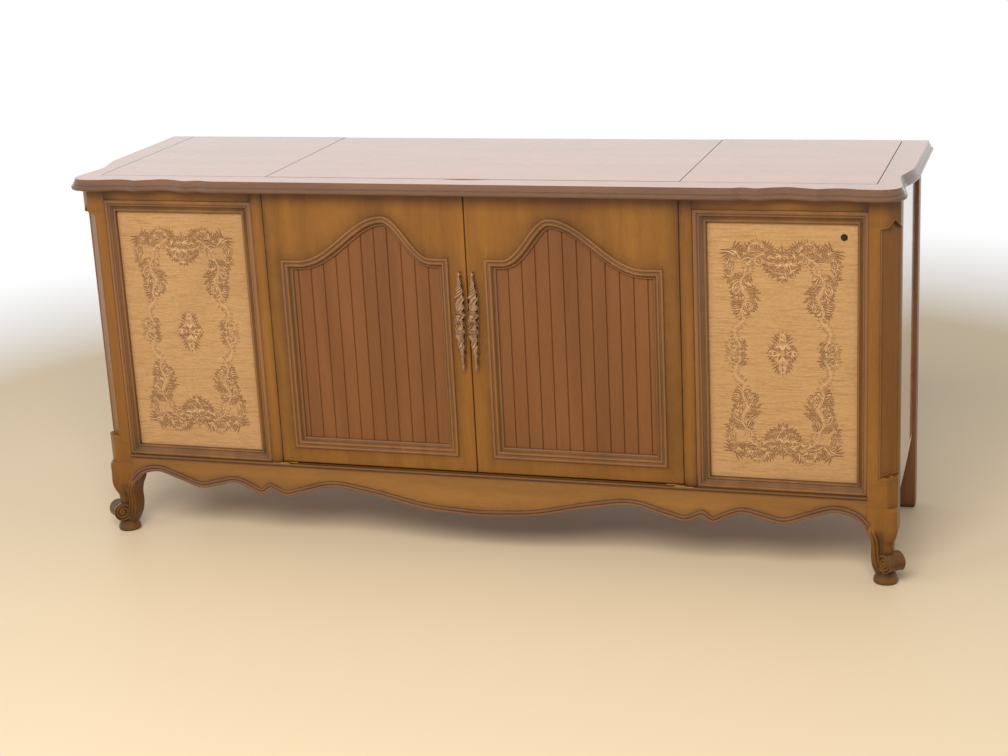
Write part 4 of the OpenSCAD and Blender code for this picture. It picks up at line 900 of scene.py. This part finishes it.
# %% Border and medallion
MIDDLE = (cloth_low + cloth_high) / 2
UP = pi / 2
STEM = knots(40, 182, 53, 175, 64, 162, 68, 146, 74, 134, 71, 118, 64, 104, 70, 90, 74, 76, 70, 62,
             80, 52, 87, 40, 84, 26, 78, 14, 84, 0)
SCROLLS = [knots(68, 146, 60, 150, 57, 160, 64, 166, 70, 161),
           knots(40, 182, 48, 176, 46, 166, 37, 166, 36, 174),
           knots(92, 150, 99, 162, 93, 174, 84, 170, 87, 161),
           knots(74, 134, 86, 128, 90, 116, 82, 110, 76, 117),
           knots(70, 90, 58, 94, 54, 84, 61, 79, 66, 84),
           knots(34, 198, 46, 204, 58, 198, 55, 188, 47, 190),
           knots(84, 0, 94, 6, 97, 16, 90, 20, 86, 14)]
# start and stop along the stem, gap, length, distances from the stem, lean, width
SPRAYS = [(0.22, 0.60, 3.4, 14, (-13, -8, -3.5, 3.5, 8, 13), 0.4, 4.2),
          (0.88, 1.0, 3.0, 11, (-6, -2.5, 2.5, 6), 0.5, 3.8),
          (0.02, 0.20, 6.0, 8, (-3, 3), 0.9, 2.6), (0.62, 0.88, 6.0, 8, (-3, 3), 0.9, 2.6)]
# x, z, aim, spread, count, length, width, bend
FANS = ([(84, 180, 1.0, 0.9, 8, 32, 4.4, 0.9), (74, 172, 1.9, 0.9, 7, 34, 4.4, 0.8),
         (88, 160, 0.2, 1.0, 7, 22, 4, 0.8), (80, 186, 0.3, 0.8, 5, 22, 4, -0.8),
         (92, 142, -0.6, 0.9, 6, 18, 4, 0.6), (46, 186, 1.5, 1.0, 8, 26, 4.4, 0.8),
         (30, 188, 1.9, 0.9, 7, 24, 4, 0.0), (60, 186, 1.2, 0.8, 5, 20, 4, 0.0),
         (38, 196, 2.4, 0.6, 4, 16, 4, 0.0)]
        + [(x, z, UP - x / 40, 1.0, 7, size, 4, 0.7) for x, z, size in (
            (0, 178, 26), (12, 176, 24), (23, 176, 18), (6, 164, 18), (18, 166, 16))]
        + [(x, z, -UP + x / 40, 1.0, 7, size, 4, 0.7) for x, z, size in (
            (0, 166, 26), (12, 168, 26), (24, 170, 20), (33, 174, 14), (6, 152, 20), (18, 156, 16),
            (0, 144, 14))]
        + [(0, 4, UP, 0.5, 7, 40, 5, 0.5), (0, 24, UP, 1.3, 11, 19, 4, 0.5),
           (3, 0, 0.0, 0.7, 7, 28, 5, 0.5), (16, 0, 0.0, 1.2, 9, 15, 4, 0.5),
           (8, 10, 0.95, 0.8, 7, 17, 4, 0.5)])
rng = np.random.default_rng(14)


def sprays(stem, start, stop, gap, length, offsets, lean, width):
    """Rows of leaves beside a stem: the same way as the stem, leaning and bending off it."""
    path = smooth(stem, 9)
    run = concatenate([[0], np.cumsum(np.linalg.norm(np.diff(path, axis=0), axis=1))])
    step = np.gradient(path, axis=0)
    heading = np.unwrap(np.arctan2(step[:, 1], step[:, 0]))
    rows = []
    for number, off in enumerate(offsets):
        at = np.arange(run[-1] * start + number % 3 * gap / 3, run[-1] * stop, gap)
        x, z, way = (interp(at, run, line) for line in (*path.T, heading))
        sign = np.sign(off)
        size = length * (0.8 + 0.3 * sin(at / 7 + number)) + rng.uniform(-1.5, 1.5, len(at))
        swell = 1 - 0.35 * cos(2 * pi * (at - at[0]) / (np.ptp(at) + 1))
        rows.append(stack([x - sin(way) * off * swell, z + cos(way) * off * swell,
                           way + sign * lean + rng.uniform(-0.2, 0.2, len(at)), size,
                           width + 0 * at, sign * 0.9 + 0 * at], 1))
    return vstack(rows)


def fan(x, z, aim, spread, count, length, width, bend):
    """Leaves from one point; the outer ones are shorter, as cos of 1.3 times their share."""
    angle = linspace(-spread, spread, count)
    size = length * (0.62 + 0.38 * cos(angle / spread * 1.3))
    return stack([x + 0 * angle, z + 0 * angle, aim + angle, size, width + 0 * angle,
                  np.sign(angle) * bend], 1)


def four_ways(rows):
    """x, z and the angles mirrored across the upright line, the level line, and both."""
    flip_x = rows * [-1, 1, 1, 1, 1, -1]
    flip_x[:, 2] = pi - rows[:, 2]
    halves = vstack([rows, flip_x])
    return vstack([halves, halves * [1, -1, -1, 1, 1, -1]])


def stems(quarters, width):
    return [thread(smooth(q, 7) * [a, b] + MIDDLE, width)
            for q in quarters for a in (1, -1) for b in (1, -1)]


def sunk(rows, depth):
    grid = leaves(rows)
    grid[..., 1] -= depth
    return many(grid)


leaf_rows = four_ways(vstack([sprays(STEM, *row) for row in SPRAYS]
                             + [sprays(s, 0.0, 0.8, 3.6, 8, (-2, 2), 0.7, 2.6) for s in SCROLLS]
                             + [fan(*row) for row in FANS]))
leaf_rows[:, :2] += MIDDLE
veins = leaf_rows * [1, 1, 1, 0.86, 1, 1]
veins[:, 4] = 0.65
pale_rows = leaf_rows[rng.random(len(leaf_rows)) < 0.14] * [1, 1, 1, 0.8, 0.45, 1]
a = np.arange(0, 6.2, 0.785)
floret = stack([6 * cos(a), 6 * sin(a), a + 0.9, 9 + 0 * a, 3.4 + 0 * a, 1.4 + 0 * a], 1)
floret[:, :2] += MIDDLE
ornament = [many(leaves(leaf_rows)), many(leaves(floret))]
t = linspace(0, 2 * pi, 25)[:, None]
drop = np.hstack([7.5 * sin(t) * sin(t / 2), 22 - 15 * cos(t)])
lobe = np.hstack([16 - 9 * cos(t), 6 * sin(t) * sin(t / 2)])
light = ([sunk(veins, 0.26), sunk(pale_rows, 0.3)] + stems([STEM + [1.2, 0], STEM - [1.2, 0]], 1.1)
         + stems(SCROLLS, 1.1) + stems([drop, drop * [0.5, 1], lobe], 1.3))
for hand, turned in HANDS.items():
    figure = [piece(f"brocade_{part}_{hand}", turned(patches), yarn, crease=80)
              for part, patches, yarn in (("leaves", ornament, "leaf_yarn"),
                                          ("threads", light, "light_yarn"))]
print(len(leaf_rows), "leaves on each cloth")

# %% [markdown]
# ## The apron
# The lower edge is the same line of knots as in the construction: three lobes from the middle, a
# cusp, and the ears that run into the legs. The board is a grid between that line and the case,
# the bead is a section carried along it, and the small cove above closes the joint.

# %% Apron, bead and base moulding
BEAD_W, BEAD_OUT, APRON_LOW, COVE_R = 13.0, 4.0, 88.0, 3.0
# inwards from the post, and down from the case
LOBES = knots(post_in, APRON_LOW, 639, 81, 512, 55, 440, 46, 369, 64, 338, 71, 305, 59)
EARS = knots(305, 59, 286, 70, 260, 60, 231, 49, 193, 56, 153, 64, 103, 48, 55, 34.5, 21, 44, 0, 65)
# two reeds: distance from the edge and height, as shares of the bead's width and height
REEDS = knots(0, 0, 0.0, 0.45, 0.05, 0.8, 0.13, 0.98, 0.24, 1.0, 0.36, 0.9, 0.44, 0.66, 0.49, 0.46,
              0.54, 0.62, 0.63, 0.82, 0.74, 0.86, 0.86, 0.72, 0.95, 0.42, 1, 0)
lobes, ears = (smooth([post_in, floor_z] - k, 8) for k in (LOBES, EARS))
half_line = vstack([lobes, ears[1:]])
apron_line = vstack([half_line[:0:-1] * [-1, 1], half_line])


def apron_board():
    """Rows from the line up to the case, t in 0..1, then round the back."""
    t = array([0, 0.06, 0.14, 0.24, 0.36, 0.5, 0.64, 0.78, 0.9, 1.0])
    x = apron_line[:, :1] + 0 * t
    z = apron_line[:, 1:] + (floor_z - apron_line[:, 1:]) * t
    face = stack([x, 0 * x + front_y, z], -1)
    back = face[:, [-1, 0]] * [1, 0, 1] + [0, face_back, 0]
    to_line = np.linalg.norm(face[..., None, [0, 2]] - apron_line[::2], axis=-1).min(-1)
    shade = (0.4 * fade(abs(to_line - BEAD_W), 4.0) + 0.2 * fade(floor_z - z, 5.0)
             + 0.25 * fade(post_in - abs(x), 10.0))
    return bar(joined(face, back),
               joined(shade, np.full((len(x), 2), 0.6)))


def reed_section():
    fine = smooth(REEDS, 2)
    return fine * [BEAD_W, -BEAD_OUT], clip(0.85 - fine[:, 1] * 0.85, 0.05, 1)


def apron_reeds():
    section, shade = reed_section()
    section = vstack([section, [[BEAD_W - 1, 2], [1, 2]]]) + [0, front_y]
    slope = np.diff(apron_line[[0, 1, -2, -1]], axis=0)[[0, 2]]
    ends = [[0, np.hypot(*s) / abs(s[0])] for s in slope]
    return bar(on_front(carried(apron_line, section, ends=ends)), concatenate([shade, [1, 1]]))


def base_cove():
    x = linspace(-post_in, post_in, 60)[:, None]
    angle = radians([0, 22, 45, 68, 90])
    y = front_y + concatenate([COVE_R * cos(angle) - 7, [-6.7, -6.2, 0, 0]])
    z = floor_z + concatenate([COVE_R * sin(angle) - 6, [-0.4, -0.05, 0, -6]])
    shade = array([0.8, 0.95, 1, 0.9, 0.5, 0.2, 0.3, 0.6, 1])
    return bar(meeting(x, y, z), shade)


piece("apron_board", [apron_board()], "apron_wood", hides=["apron"])
piece("apron_reeds", [apron_reeds()], "apron_reed_wood", hides=["apron_bead"])
piece("base_cove", [base_cove()], "moulding_wood_level", hides=["base_moulding"])

# %% [markdown]
# ## The corner posts and their legs
# A post is one grid: round its outline, and up. Across the corner, a is the place along the
# diagonal face and w the depth behind the corner. A plain square post has w = |a|, and a flat cut
# of depth c makes it max(c, |a|). The sunk panel is the same formula with a larger c, between two
# curved ends, and the reed inside it is a bump at a fixed distance from the panel's outline.

# %% Corner posts
DIAGONAL = 2**0.5
POST_CUT, PANEL_CUT, LEG_TOP = 18 / DIAGONAL, 34 / DIAGONAL, 148.0
# share of the panel's half width, and height
PANEL_FOOT = smooth(knots(-1, 200, -0.86, 207, -0.6, 209, -0.3, 207, 0, 212, 0.3, 207, 0.6, 209,
                          0.86, 207, 1, 200), 4)
PANEL_HEAD = smooth(knots(-1, 668, -0.55, 672, -0.2, 680, 0, 684, 0.2, 680, 0.55, 672, 1, 668), 4)


def soft_max(a, b, s=1.4):
    """Larger of two numbers, with the corner between them rounded."""
    return (a + b + np.sqrt((a - b) ** 2 + s**2)) / 2


def corner_post():
    """Depth w(a, z) across the corner; x = (w + a) / sqrt 2 and y = (w - a) / sqrt 2."""
    inside = array([0, 0.6, 1.2, 1.8, 2.4, 3.0, 3.6, 4.2, 4.8, 5.6, 7, 9, 12, 16, 20])
    half = concatenate([[38.0, 33, 28.5, 25.4], PANEL_CUT - inside, [0]])
    a = concatenate([-half, half[-2::-1]])[:, None]
    low = interp(a / PANEL_CUT, *PANEL_FOOT.T)
    high = interp(a / PANEL_CUT, *PANEL_HEAD.T)
    near = array([-6, -4.4, -3.2, -2.2, -1.2, -0.4, 0, 0.7, 1.4, 2.1, 2.8, 3.4, 4.0, 4.8, 5.6,
                  7, 10])
    bottom = LEG_TOP + (low - 6 - LEG_TOP) * linspace(0, 1, 6)[:-1]
    middle = low + 10 + (high - low - 20) * linspace(0, 1, 30)[1:-1]
    top = high + 6 + (under_top - high - 6) * linspace(0, 1, 5)[1:]
    z = joined(bottom, low + near, middle, high - near[::-1], top)
    into = minimum(z - low, high - z)
    cut = POST_CUT + (PANEL_CUT - POST_CUT) * clip(into / 1.4, 0, 1)
    margin = minimum(PANEL_CUT - abs(a), into)
    w = (soft_max(cut, abs(a)) - 1.5 * reed(margin, 3.3, 1.3) * (margin > 0)
         - 0.8 * reed(into, -2.4, 1.3) * (abs(a) < 24.1))
    points = stack([(w + a) / DIAGONAL, (w - a) / DIAGONAL, z], -1)
    points = np.maximum(points, [0.05, 0.05, 0])
    hollow = ((reed(margin, 1.0, 0.9) + 0.9 * reed(margin, 5.8, 1.4)) * (margin > 0)
              + 0.5 * reed(into, -5.2, 1.5))
    # glaze in the panel's quirks and just above the leg; painted shade over the last 16 mm under
    # the top
    shade = 0.14 + 0.42 * hollow + 0.4 * fade(under_top - z, 16) + 0.2 * fade(z - LEG_TOP, 12)
    rear = [points[-1] * [0, 1, 1] + [POST_W, 0, 0], points[-1] * [0, 0, 1] + [POST_W, POST_W, 0],
            points[0] * [1, 0, 1] + [0, POST_W, 0]]
    return tube(concatenate([points, rear]), concatenate([shade, np.full((3, z.shape[1]), 0.4)]))


# %% [markdown]
# A cabriole leg is cut from a square block with one curve on two faces. At each height its
# section is a square between the outer and the inner curve, with round corners. The reeds of the
# apron go on down its inner edge. At the foot, a scroll is wound round an axis across the corner;
# its groove is an Archimedean spiral, r = r0 - pitch * turns. The pad under it is turned.

# %% Cabriole legs
# inwards from the post's two outer faces, and height
LEG_OUTER = knots(0, LEG_TOP + 2, 0, LEG_TOP, 0, 124, 0, 100, 3, 87, 7, 76, 7.5, 62, 6, 48, 6, 30,
                  8, 16)
LEG_INNER = knots(40, 16, 45, 31, 47, 44, 47.5, 58, 47, 73, 49, 91, 54, 107, 54, 120,
                  54, LEG_TOP + 2)
SCROLL_R, SCROLL_LEN, SCROLL_AT, SCROLL_PITCH = 19.0, 38.0, [10.0, 10.0, 43.0], 6.6
PAD_AT = [21.0, 21.0, 0]
# radius and height
PAD = knots(0, 0, 20.6, 0, 22.2, 0.8, 23.0, 3.2, 22.8, 6.4, 21.6, 10, 19.6, 14.2, 17.9, 18.4,
            17.3, 20.4, 17.5, 22, 0, 22)


def cabriole():
    z = concatenate([[LEG_TOP + 2, LEG_TOP + 0.4], linspace(LEG_TOP - 2, 16, 56)])[:, None]
    o, i = (interp(z, line[:, 1], line[:, 0])
            for line in (smooth(LEG_OUTER, 6)[::-1], smooth(LEG_INNER, 6)))
    lip = clip((z - (LEG_TOP - 5)) / 6, 0, 1) ** 2 * 7
    far = interp(z, [16, 34, 60, 110, 148], [13, 12, 11, 9, 9]) + lip
    near = interp(z, [16, 34, 60, 110, 148], [12, 7, 3, 1.2, 1.2])
    corners = round_box((o, i), (o, i), (near, near, near, far), 6, 270)
    reeds, reed_shade = reed_section()
    inward = linspace(1, 0, 40)[None]
    keep = interp(z, [20, 40, 102, 110], [0, 1, 1, 0])
    reach = minimum(BEAD_W, (i - o) * 0.4)
    across = interp(inward, reeds[:, 0] / BEAD_W, -reeds[:, 1])
    bead = stack([corners[0][:, :1, 0] - inward * reach,
                  o - across * keep * interp(z, [16, 60], [0.6, 1])], -1)
    last = corners[3][:, -1:]
    flat = last + (bead[:, :1] - last) * linspace(0, 1, 8)[1:-1, None]
    sides = [corners[3], flat, bead[:, :-1], corners[0]]
    for a, b in ((corners[0], corners[1]), (corners[1], corners[2])):
        sides += [(a[:, -1:] + b[:, :1]) / 2, b]
    rim = joined(*sides)
    # darker towards the foot
    shade = interp(z, [20, 60, 110, 148], [0.8, 0.5, 0.3, 0.15]) + np.zeros(rim.shape[:2])
    first = corners[3].shape[1] + flat.shape[1]
    hollow = interp(inward, reeds[:, 0] / BEAD_W, reed_shade)
    shade[:, first:first + 39] += (0.65 * hollow * keep)[:, :-1]
    shade[:, first - 3:first] += 0.3 * keep
    return bar(raised(rim, z[..., None]), shade)


def scroll():
    """Round the axis by theta, and from one end's centre over the rim to the other."""
    theta = circle(72)
    face = concatenate([linspace(0, SCROLL_R - 1.6, 40), [SCROLL_R - 0.8, SCROLL_R - 0.2]])
    phase = ((SCROLL_R + 0.5 - face) / SCROLL_PITCH - theta / (2 * pi)) % 1.0
    ridge = sin(pi * phase) ** 0.7
    rim = clip((SCROLL_R - face) / 2.5, 0, 1) * clip(face / 4.5 - 0.6, 0, 1)
    boss = 1.6 * clip(1 - (face / 5.0) ** 2, 0, None)
    fall = array([0.0] * 40 + [0.35, 1.1])
    height = SCROLL_LEN / 2 - 2.6 * (1 - ridge) * rim + boss - fall
    t = linspace(-1, 1, 13)[None]
    waist = SCROLL_R - 1.8 * (1 - t**2) + 1.6 * reed(t, 0, 0.2) * abs(cos(3 * theta + 2 * t))
    face = face + 0 * theta
    r = joined(face, waist, face[:, ::-1])
    along = joined(height, -t * (SCROLL_LEN / 2 - 1.5) + 0 * theta, -height[:, ::-1])
    side = r * cos(theta)
    points = stack([(side + along) / DIAGONAL, (side - along) / DIAGONAL, r * sin(theta)], -1)
    dark = 0.5 + 0.5 * (1 - ridge)
    shade = joined(dark, 0.55 + 0.3 * (1 - t**2) + 0 * theta, dark[:, ::-1])
    return tube(points + SCROLL_AT, shade)


# the pad is darker at its foot and at the neck under the scroll
pad_shade = interp(PAD[:, 1], [0, 3, 9, 16, 20], [0.95, 0.6, 0.55, 0.85, 1.0])
pad = tube(lathe(PAD, 40) + PAD_AT, pad_shade)
leg = moved([corner_post(), cabriole(), scroll(), pad], [-post_x, front_y, 0])
for hand, turned in (("left", list), ("right", mirrored)):
    piece("corner_leg_" + hand, turned(leg), "front_wood_upright",
          hides=["front_leg_" + hand])

# %% [markdown]
# ## The pulls
# A pull is a thin plate, left solid here though the casting is pierced, a cast bow in front of it,
# and two short posts. The bow is a tube whose width runs through the knots of the casting's
# outline.
# Its middle is leafy, with tips that ripple as |sin(43 s + curl)|. Beyond, flutes wind round it as
# |cos(2 theta + 38 s)|, with sharp valleys like a rope's. The whole casting sways a little to one
# side, and both doors have the same.

# %% Door pulls
PULL_X, PULL_Z, PULL_HALF, POST_AT = 13.0, 478.0, 96.5, 62.0
# place along the pull, from -1 to 1, and half its width; then half its depth
PULL_WIDE = knots(-1, 0.8, -0.95, 3.6, -0.9, 3.9, -0.86, 2.4, -0.79, 2.9, -0.67, 4.0, -0.5, 6.0,
                  -0.35, 7.5, -0.19, 9.4, 0, 8.8, 0.2, 9.4, 0.35, 8.6, 0.52, 8.5, 0.69, 5.8,
                  0.86, 3.1, 0.92, 2.6, 0.97, 3.9, 1, 0.8).T
BOW_DEEP = knots(0, 5.4, 0.18, 5.0, 0.3, 4.2, 0.6, 3.6, 0.88, 2.0, 0.93, 2.8, 1.0, 0.3).T
# radius, and how far it stands out
PULL_POST = knots(0, 0, 5.2, 0, 5.2, 1.6, 3.6, 3.0, 2.8, 5.2, 3.2, 8, 3.2, 11, 0, 11)


def sway(s):
    """The casting bends to one side, most below the middle."""
    return -2.6 * reed(s, -0.18, 0.42)


def on_door(x, y, z):
    return meeting(x + PULL_X, front_y + y, z + PULL_Z)


def bow():
    s = linspace(-1, 1, 321)[None]
    theta = circle(64)
    wide = interp(s, *PULL_WIDE) * (0.92 + 0.13 * cos(38 * s + 0.9 * cos(theta)))
    swirl = abs(cos(2 * theta + 38 * s + 2.4 * sin(9 * s)))
    leafy = clip(1 - (s / 0.42) ** 2, 0, 1) ** 0.5
    curl = 2.6 * cos(theta + 9 * s) + 1.8 * sin(31 * s)
    tips = abs(sin(43 * s + curl)) * (0.5 + 0.5 * abs(cos(3.5 * theta + 7 * s + curl)))
    collars = reed(abs(s), 0.5, 0.012) + reed(abs(s), 0.88, 0.01)
    swell = 1 + 0.3 * (1 - leafy) * (swirl - 0.6) + 0.42 * leafy * (tips - 0.5) + 0.2 * collars
    points = on_door(sway(s) + 0.94 * wide * swell * cos(theta),
                     -interp(abs(s), *BOW_DEEP) * swell * sin(theta) - 11.0, PULL_HALF * s)
    return tube(points, 0.85 - 0.8 * (swirl * (1 - leafy) + tips * leafy))


def rosette():
    """Swirled petals: height 2.2 sin(pi r) |cos(4 theta + 2.4 r)|, with a bead in the middle."""
    r = linspace(0, 1, 22)[None]
    theta = circle(96)
    petal = abs(cos(4 * theta + 2.4 * r)) ** 0.6
    rim = 7.8 * (1 - 0.16 * (1 - petal) * (r > 0.6)) * r
    high = (2.2 * sin(pi * clip(r * 1.1, 0, 1)) * petal
            + 2.4 * clip(1 - (r / 0.24) ** 2, 0, 1))
    points = on_door(rim * cos(theta) + sway(0), -16.2 - high, rim * sin(theta))
    shade = 1.0 - 0.8 * petal - 0.5 * reed(r, 0, 0.2) + 0.5 * reed(r, 0.3, 0.08)
    back = points[:, -1:] * [1, 0, 1] + [0, front_y - 13, 0]
    hub = 0 * back + [PULL_X + sway(0), front_y - 13, PULL_Z]
    return tube(joined(points, back, hub), joined(shade, np.ones((len(theta), 2))))


def pull_plate():
    """Outline with leaf tips; u runs round it, v from the rim of the back to the front's middle."""
    t = circle(260)
    s, c = sin(t), cos(t)
    tips = abs(cos(26 * s))
    wide = interp(s, *PULL_WIDE) * (0.82 + 0.2 * tips)
    v = array([1.0, 1.0, 0.94, 0.8, 0.5, 0.0])
    out = array([0.0, 1.2, 1.9, 2.1, 1.7, 1.6])
    points = on_door(wide * np.sign(c) * abs(c) ** 0.35 * v + sway(s), -out, 0.995 * PULL_HALF * s)
    shade = array([1.0, 0.9, 0.4, 0.35, 0.8, 0.9]) + 0.25 * (1 - tips)
    return patch(points, loop_u=True, looks=ROOM, shade=shade)


def forward(profile, turns, place):
    """A turned part whose axis points out of the front."""
    return lathe(profile, turns)[..., [0, 2, 1]] * [1, -1, 1] + place


pull = [pull_plate(), bow(), rosette()] + [
    tube(forward(PULL_POST, 20, [PULL_X, front_y, PULL_Z + side * POST_AT]), 0.6)
    for side in (-1, 1)]
for hand, step in (("right", 0), ("left", -2 * PULL_X)):
    piece("pull_" + hand, moved(pull, [step, 0, 0]), "antique_cast_brass",
          "door_" + hand, ["door_pull_" + hand], crease=50)

# %% [markdown]
# ## Rear legs
# They are sawn from flat stock and left plain. Above, each stands a little proud of the end; below
# the case it widens inwards as t ^ 1.2 to a foot with rounded arrises.

# %% Rear legs
PROUD, CAD_PROUD, LEG_DEEP, LEG_FOOT_W, CASE_LOW = 6.0, 14.0, 38.0, 34.0, 165.0
leg_out, leg_back, _ = span("rear_legs")[1]
end_out = leg_out - CAD_PROUD


def rear_leg():
    z = concatenate([[0, 0.8, 2.2, 5, 10], linspace(20, CASE_LOW - 4, 22),
                     [CASE_LOW, CASE_LOW + 6], linspace(CASE_LOW + 60, under_top, 10)])[:, None]
    t = clip((CASE_LOW - z) / (CASE_LOW - 20.0), 0, 1)
    foot = interp(z, [0, 0.8, 2.2, 5], [5, 2.6, 1.2, 0])
    inner = end_out - 1 - (LEG_FOOT_W - PROUD - 1) * t**1.2 + foot
    arcs = round_box((inner, end_out + PROUD - foot), (leg_back - LEG_DEEP + foot, leg_back - foot),
                     [1.6] * 4, 4, 0)
    # painted shade just under the top; darker towards the foot
    shade = interp(z, [0, 8, 40, 150, 700, 722], [0.9, 0.5, 0.25, 0.2, 0.2, 0.6])
    return bar(raised(joined(*arcs), z[..., None]), shade)


piece("rear_legs_sawn", both_hands([rear_leg()]), "rear_leg_wood", hides=["rear_legs"])

# %% [markdown]
# ## Inside, under the lid
# The tuner's scale is printed on its glass: a thin raised line is carried along each stroke of each
# number. The numbers are the usual ones of the two wave bands. The record lies on a mat whose
# ribs are one profile, a row of sine humps, turned round the spindle.

# %% Dial print and platter mat
# a digit's strokes, from one lettered place to the next
PLACES = dict(zip("abcdefghijkl", knots(0, 4, 2, 4, 0, 2, 2, 2, 0, 0, 2, 0, 1.6, 4, 1.6, 0, 0.8, 0,
                                        0.4, 3.2, 1.2, 4, 1.2, 0)))
DIGITS = "efbae jkl abdcef abfe,cd acd,gh bacdfe baefdc abi efbae,cd dcabfe".split()
DIGIT_SIZE, SCALE_HALF, RIB_GAP, RIB_IN, RIB_OUT = 1.45, 102, 2.7, 62, 110.5
glass = span("dial_glass")
platter = span("platter")


def printed(path, half=0.28):
    """A flat bead along a path on the glass, 0.2 mm high."""
    section = knots(-half, -0.1, -0.8 * half, 0.2, 0.8 * half, 0.2, half, -0.1)
    return bar(carried(path + glass.mean(0)[:2], section) + [0, 0, glass[1, 2]])


def number(text, x, y):
    left = x - DIGIT_SIZE * (3 * len(text) - 1) / 2
    return [printed(array([PLACES[at] for at in stroke]) * DIGIT_SIZE
                    + [left + 3 * DIGIT_SIZE * k, y])
            for k, digit in enumerate(text) for stroke in DIGITS[int(digit)].split(",")]


def scale_row(numbers, y, way, number_y):
    """Numbers spaced evenly along the scale, with four short ticks between each two."""
    ticks = linspace(-SCALE_HALF, SCALE_HALF, 5 * (len(numbers) - 1) + 1)
    made = [printed(knots(x, y, x, y + way * (2.8 if k % 5 else 5.0)), 0.22)
            for k, x in enumerate(ticks)]
    for text, x in zip(numbers, linspace(-SCALE_HALF, SCALE_HALF, len(numbers))):
        made += number(text, x, number_y)
    return made + [printed(knots(-108, y, 108, y), 0.2)]


piece("dial_print", scale_row("88 92 96 100 104 108".split(), 5.0, 1, 12.5)
      + scale_row("55 60 70 80 100 120 140 160".split(), -5.0, -1, -18.3), "dial_paint")
r = linspace(RIB_IN, RIB_OUT, 195)
ribs = platter[1, 2] - 0.95 + 0.8 * abs(sin(pi * (r - RIB_IN) / RIB_GAP)) ** 0.7
rib_foot = platter[1, 2] - 1.6
profile = vstack([[[61.6, rib_foot]], stack([r, ribs], 1), [[111, rib_foot]]])
mat = lathe(profile, 96) + [*platter.mean(0)[:2], 0]
piece("platter_ribs", [ring(mat, 0.25)], "platter_rubber", "platter")

# %% [markdown]
# ## The pilot lamp
# A small jewel in the right cloth's upper corner glows when the set is on. It is turned like a
# knob, so it is one profile on a lathe, laid over to point out of the front.

# %% Pilot lamp
LAMP_IN = 24.5
# radius, and how far it stands out
LAMP = knots(0, -3, 6.2, -3, 6.3, 0.4, 5.9, 1.1, 5.2, 1.3, 4.6, 1.0, 4.3, 1.7, 3.8, 3.2, 2.6, 4.4,
             1.2, 4.9, 0, 5.0)
jewel = forward(LAMP, 32, [CLOTH_X[1] - LAMP_IN, cloth_y, CLOTH_Z[1] - LAMP_IN])
piece("pilot_lens", [tube(jewel)], "speaker_black", hides=["pilot_lamp"])

# %% [markdown]
# ## Light, floor and background
# Soft light from the front and above, as in the photograph, a weak fill from the left and a little
# from overhead. The world is white to the camera, to gloss and to glass, and dimmer where it lights
# the piece. The pale floor fades to white away from the cabinet, so it has no horizon.

# %% Studio
WHITE = (1, 1, 1, 1)
AMBIENT, FLOOR_R, FLOOR_FADE = 0.28, 14.0, (1.75, 2.75)
# name, place, aim, size, watts, colour
LAMPS = [("key", (0.4, -3.3, 2.9), (0, 0, 0.35), (2.8, 1.8), 172, (1.0, 0.97, 0.92)),
         ("fill", (-2.8, -2.8, 2.1), (0, 0, 0.4), (2.2, 2.0), 40, (1, 1, 1)),
         ("overhead", (0, 0.2, 3.2), (0, 0.2, 0.7), (3.2, 1.6), 14, (1.0, 0.96, 0.92))]


def soft_lamp(name, place, aim, size, watts, colour):
    data = bpy.data.lights.new(name, "AREA")
    data.shape, data.size, data.size_y = "RECTANGLE", *size
    data.energy, data.color = watts, colour
    lamp = placed(name, data)
    lamp.location = place
    lamp.rotation_euler = (Vector(aim) - Vector(place)).to_track_quat("-Z", "Y").to_euler()
    lamp.visible_camera = lamp.visible_glossy = False


def seen(at, *rays):
    """1 for these kinds of ray, else 0."""
    path = node(at, "LightPath").outputs
    found = path[f"Is {rays[0]} Ray"]
    for ray in rays[1:]:
        found = maths("MAXIMUM", found, path[f"Is {ray} Ray"])
    return found


def studio_world():
    world = bpy.context.scene.world = bpy.data.worlds.new("studio_white")
    world.use_nodes = True
    sky = world.node_tree.nodes["Background"]
    feed(sky, {"Color": WHITE, "Strength": band(seen(sky, "Camera", "Glossy", "Transmission"),
                                                0.0, 1.0, AMBIENT, 1.0)})


def floor():
    """A disc whose colour goes from pale to white between two distances from the middle."""
    r = array([0.0, 1.0, 2.0, 4.0, 8.0, FLOOR_R])
    angle = circle(64)
    points = stack([r * cos(angle), r * sin(angle), 0 * r * angle - 0.0004], -1)
    mesh = bpy.data.meshes.new("floor")
    flat, faces, _ = patch(points / MM, loop_u=True, looks=(0, 0, 1))
    mesh.from_pydata(flat * MM, [], faces)
    made = placed("floor", mesh)
    shader = finish("pale_floor", Roughness=0.55)
    place = node(shader, "TexCoord").outputs["Object"]
    far = node(shader, "VectorMath", {0: place}, operation="LENGTH").outputs["Value"]
    share = band(far, *FLOOR_FADE)
    feed(shader, {"Base Color": blend(share, srgb(224, 204, 172), WHITE)})
    glow = node(shader, "Emission", {"Color": WHITE})
    mixed = node(shader, "MixShader", {0: mul(share, seen(shader, "Camera", "Glossy")),
                                       1: shader.outputs[0], 2: glow.outputs[0]})
    feed(shader.id_data.nodes["Material Output"], {0: mixed.outputs[0]})
    mesh.materials.append(finishes["pale_floor"])


studio_world()
floor()
for lamp in LAMPS:
    soft_lamp(*lamp)
bpy.context.scene.view_settings.view_transform = "Standard"
print("lamps:", [lamp[0] for lamp in LAMPS])
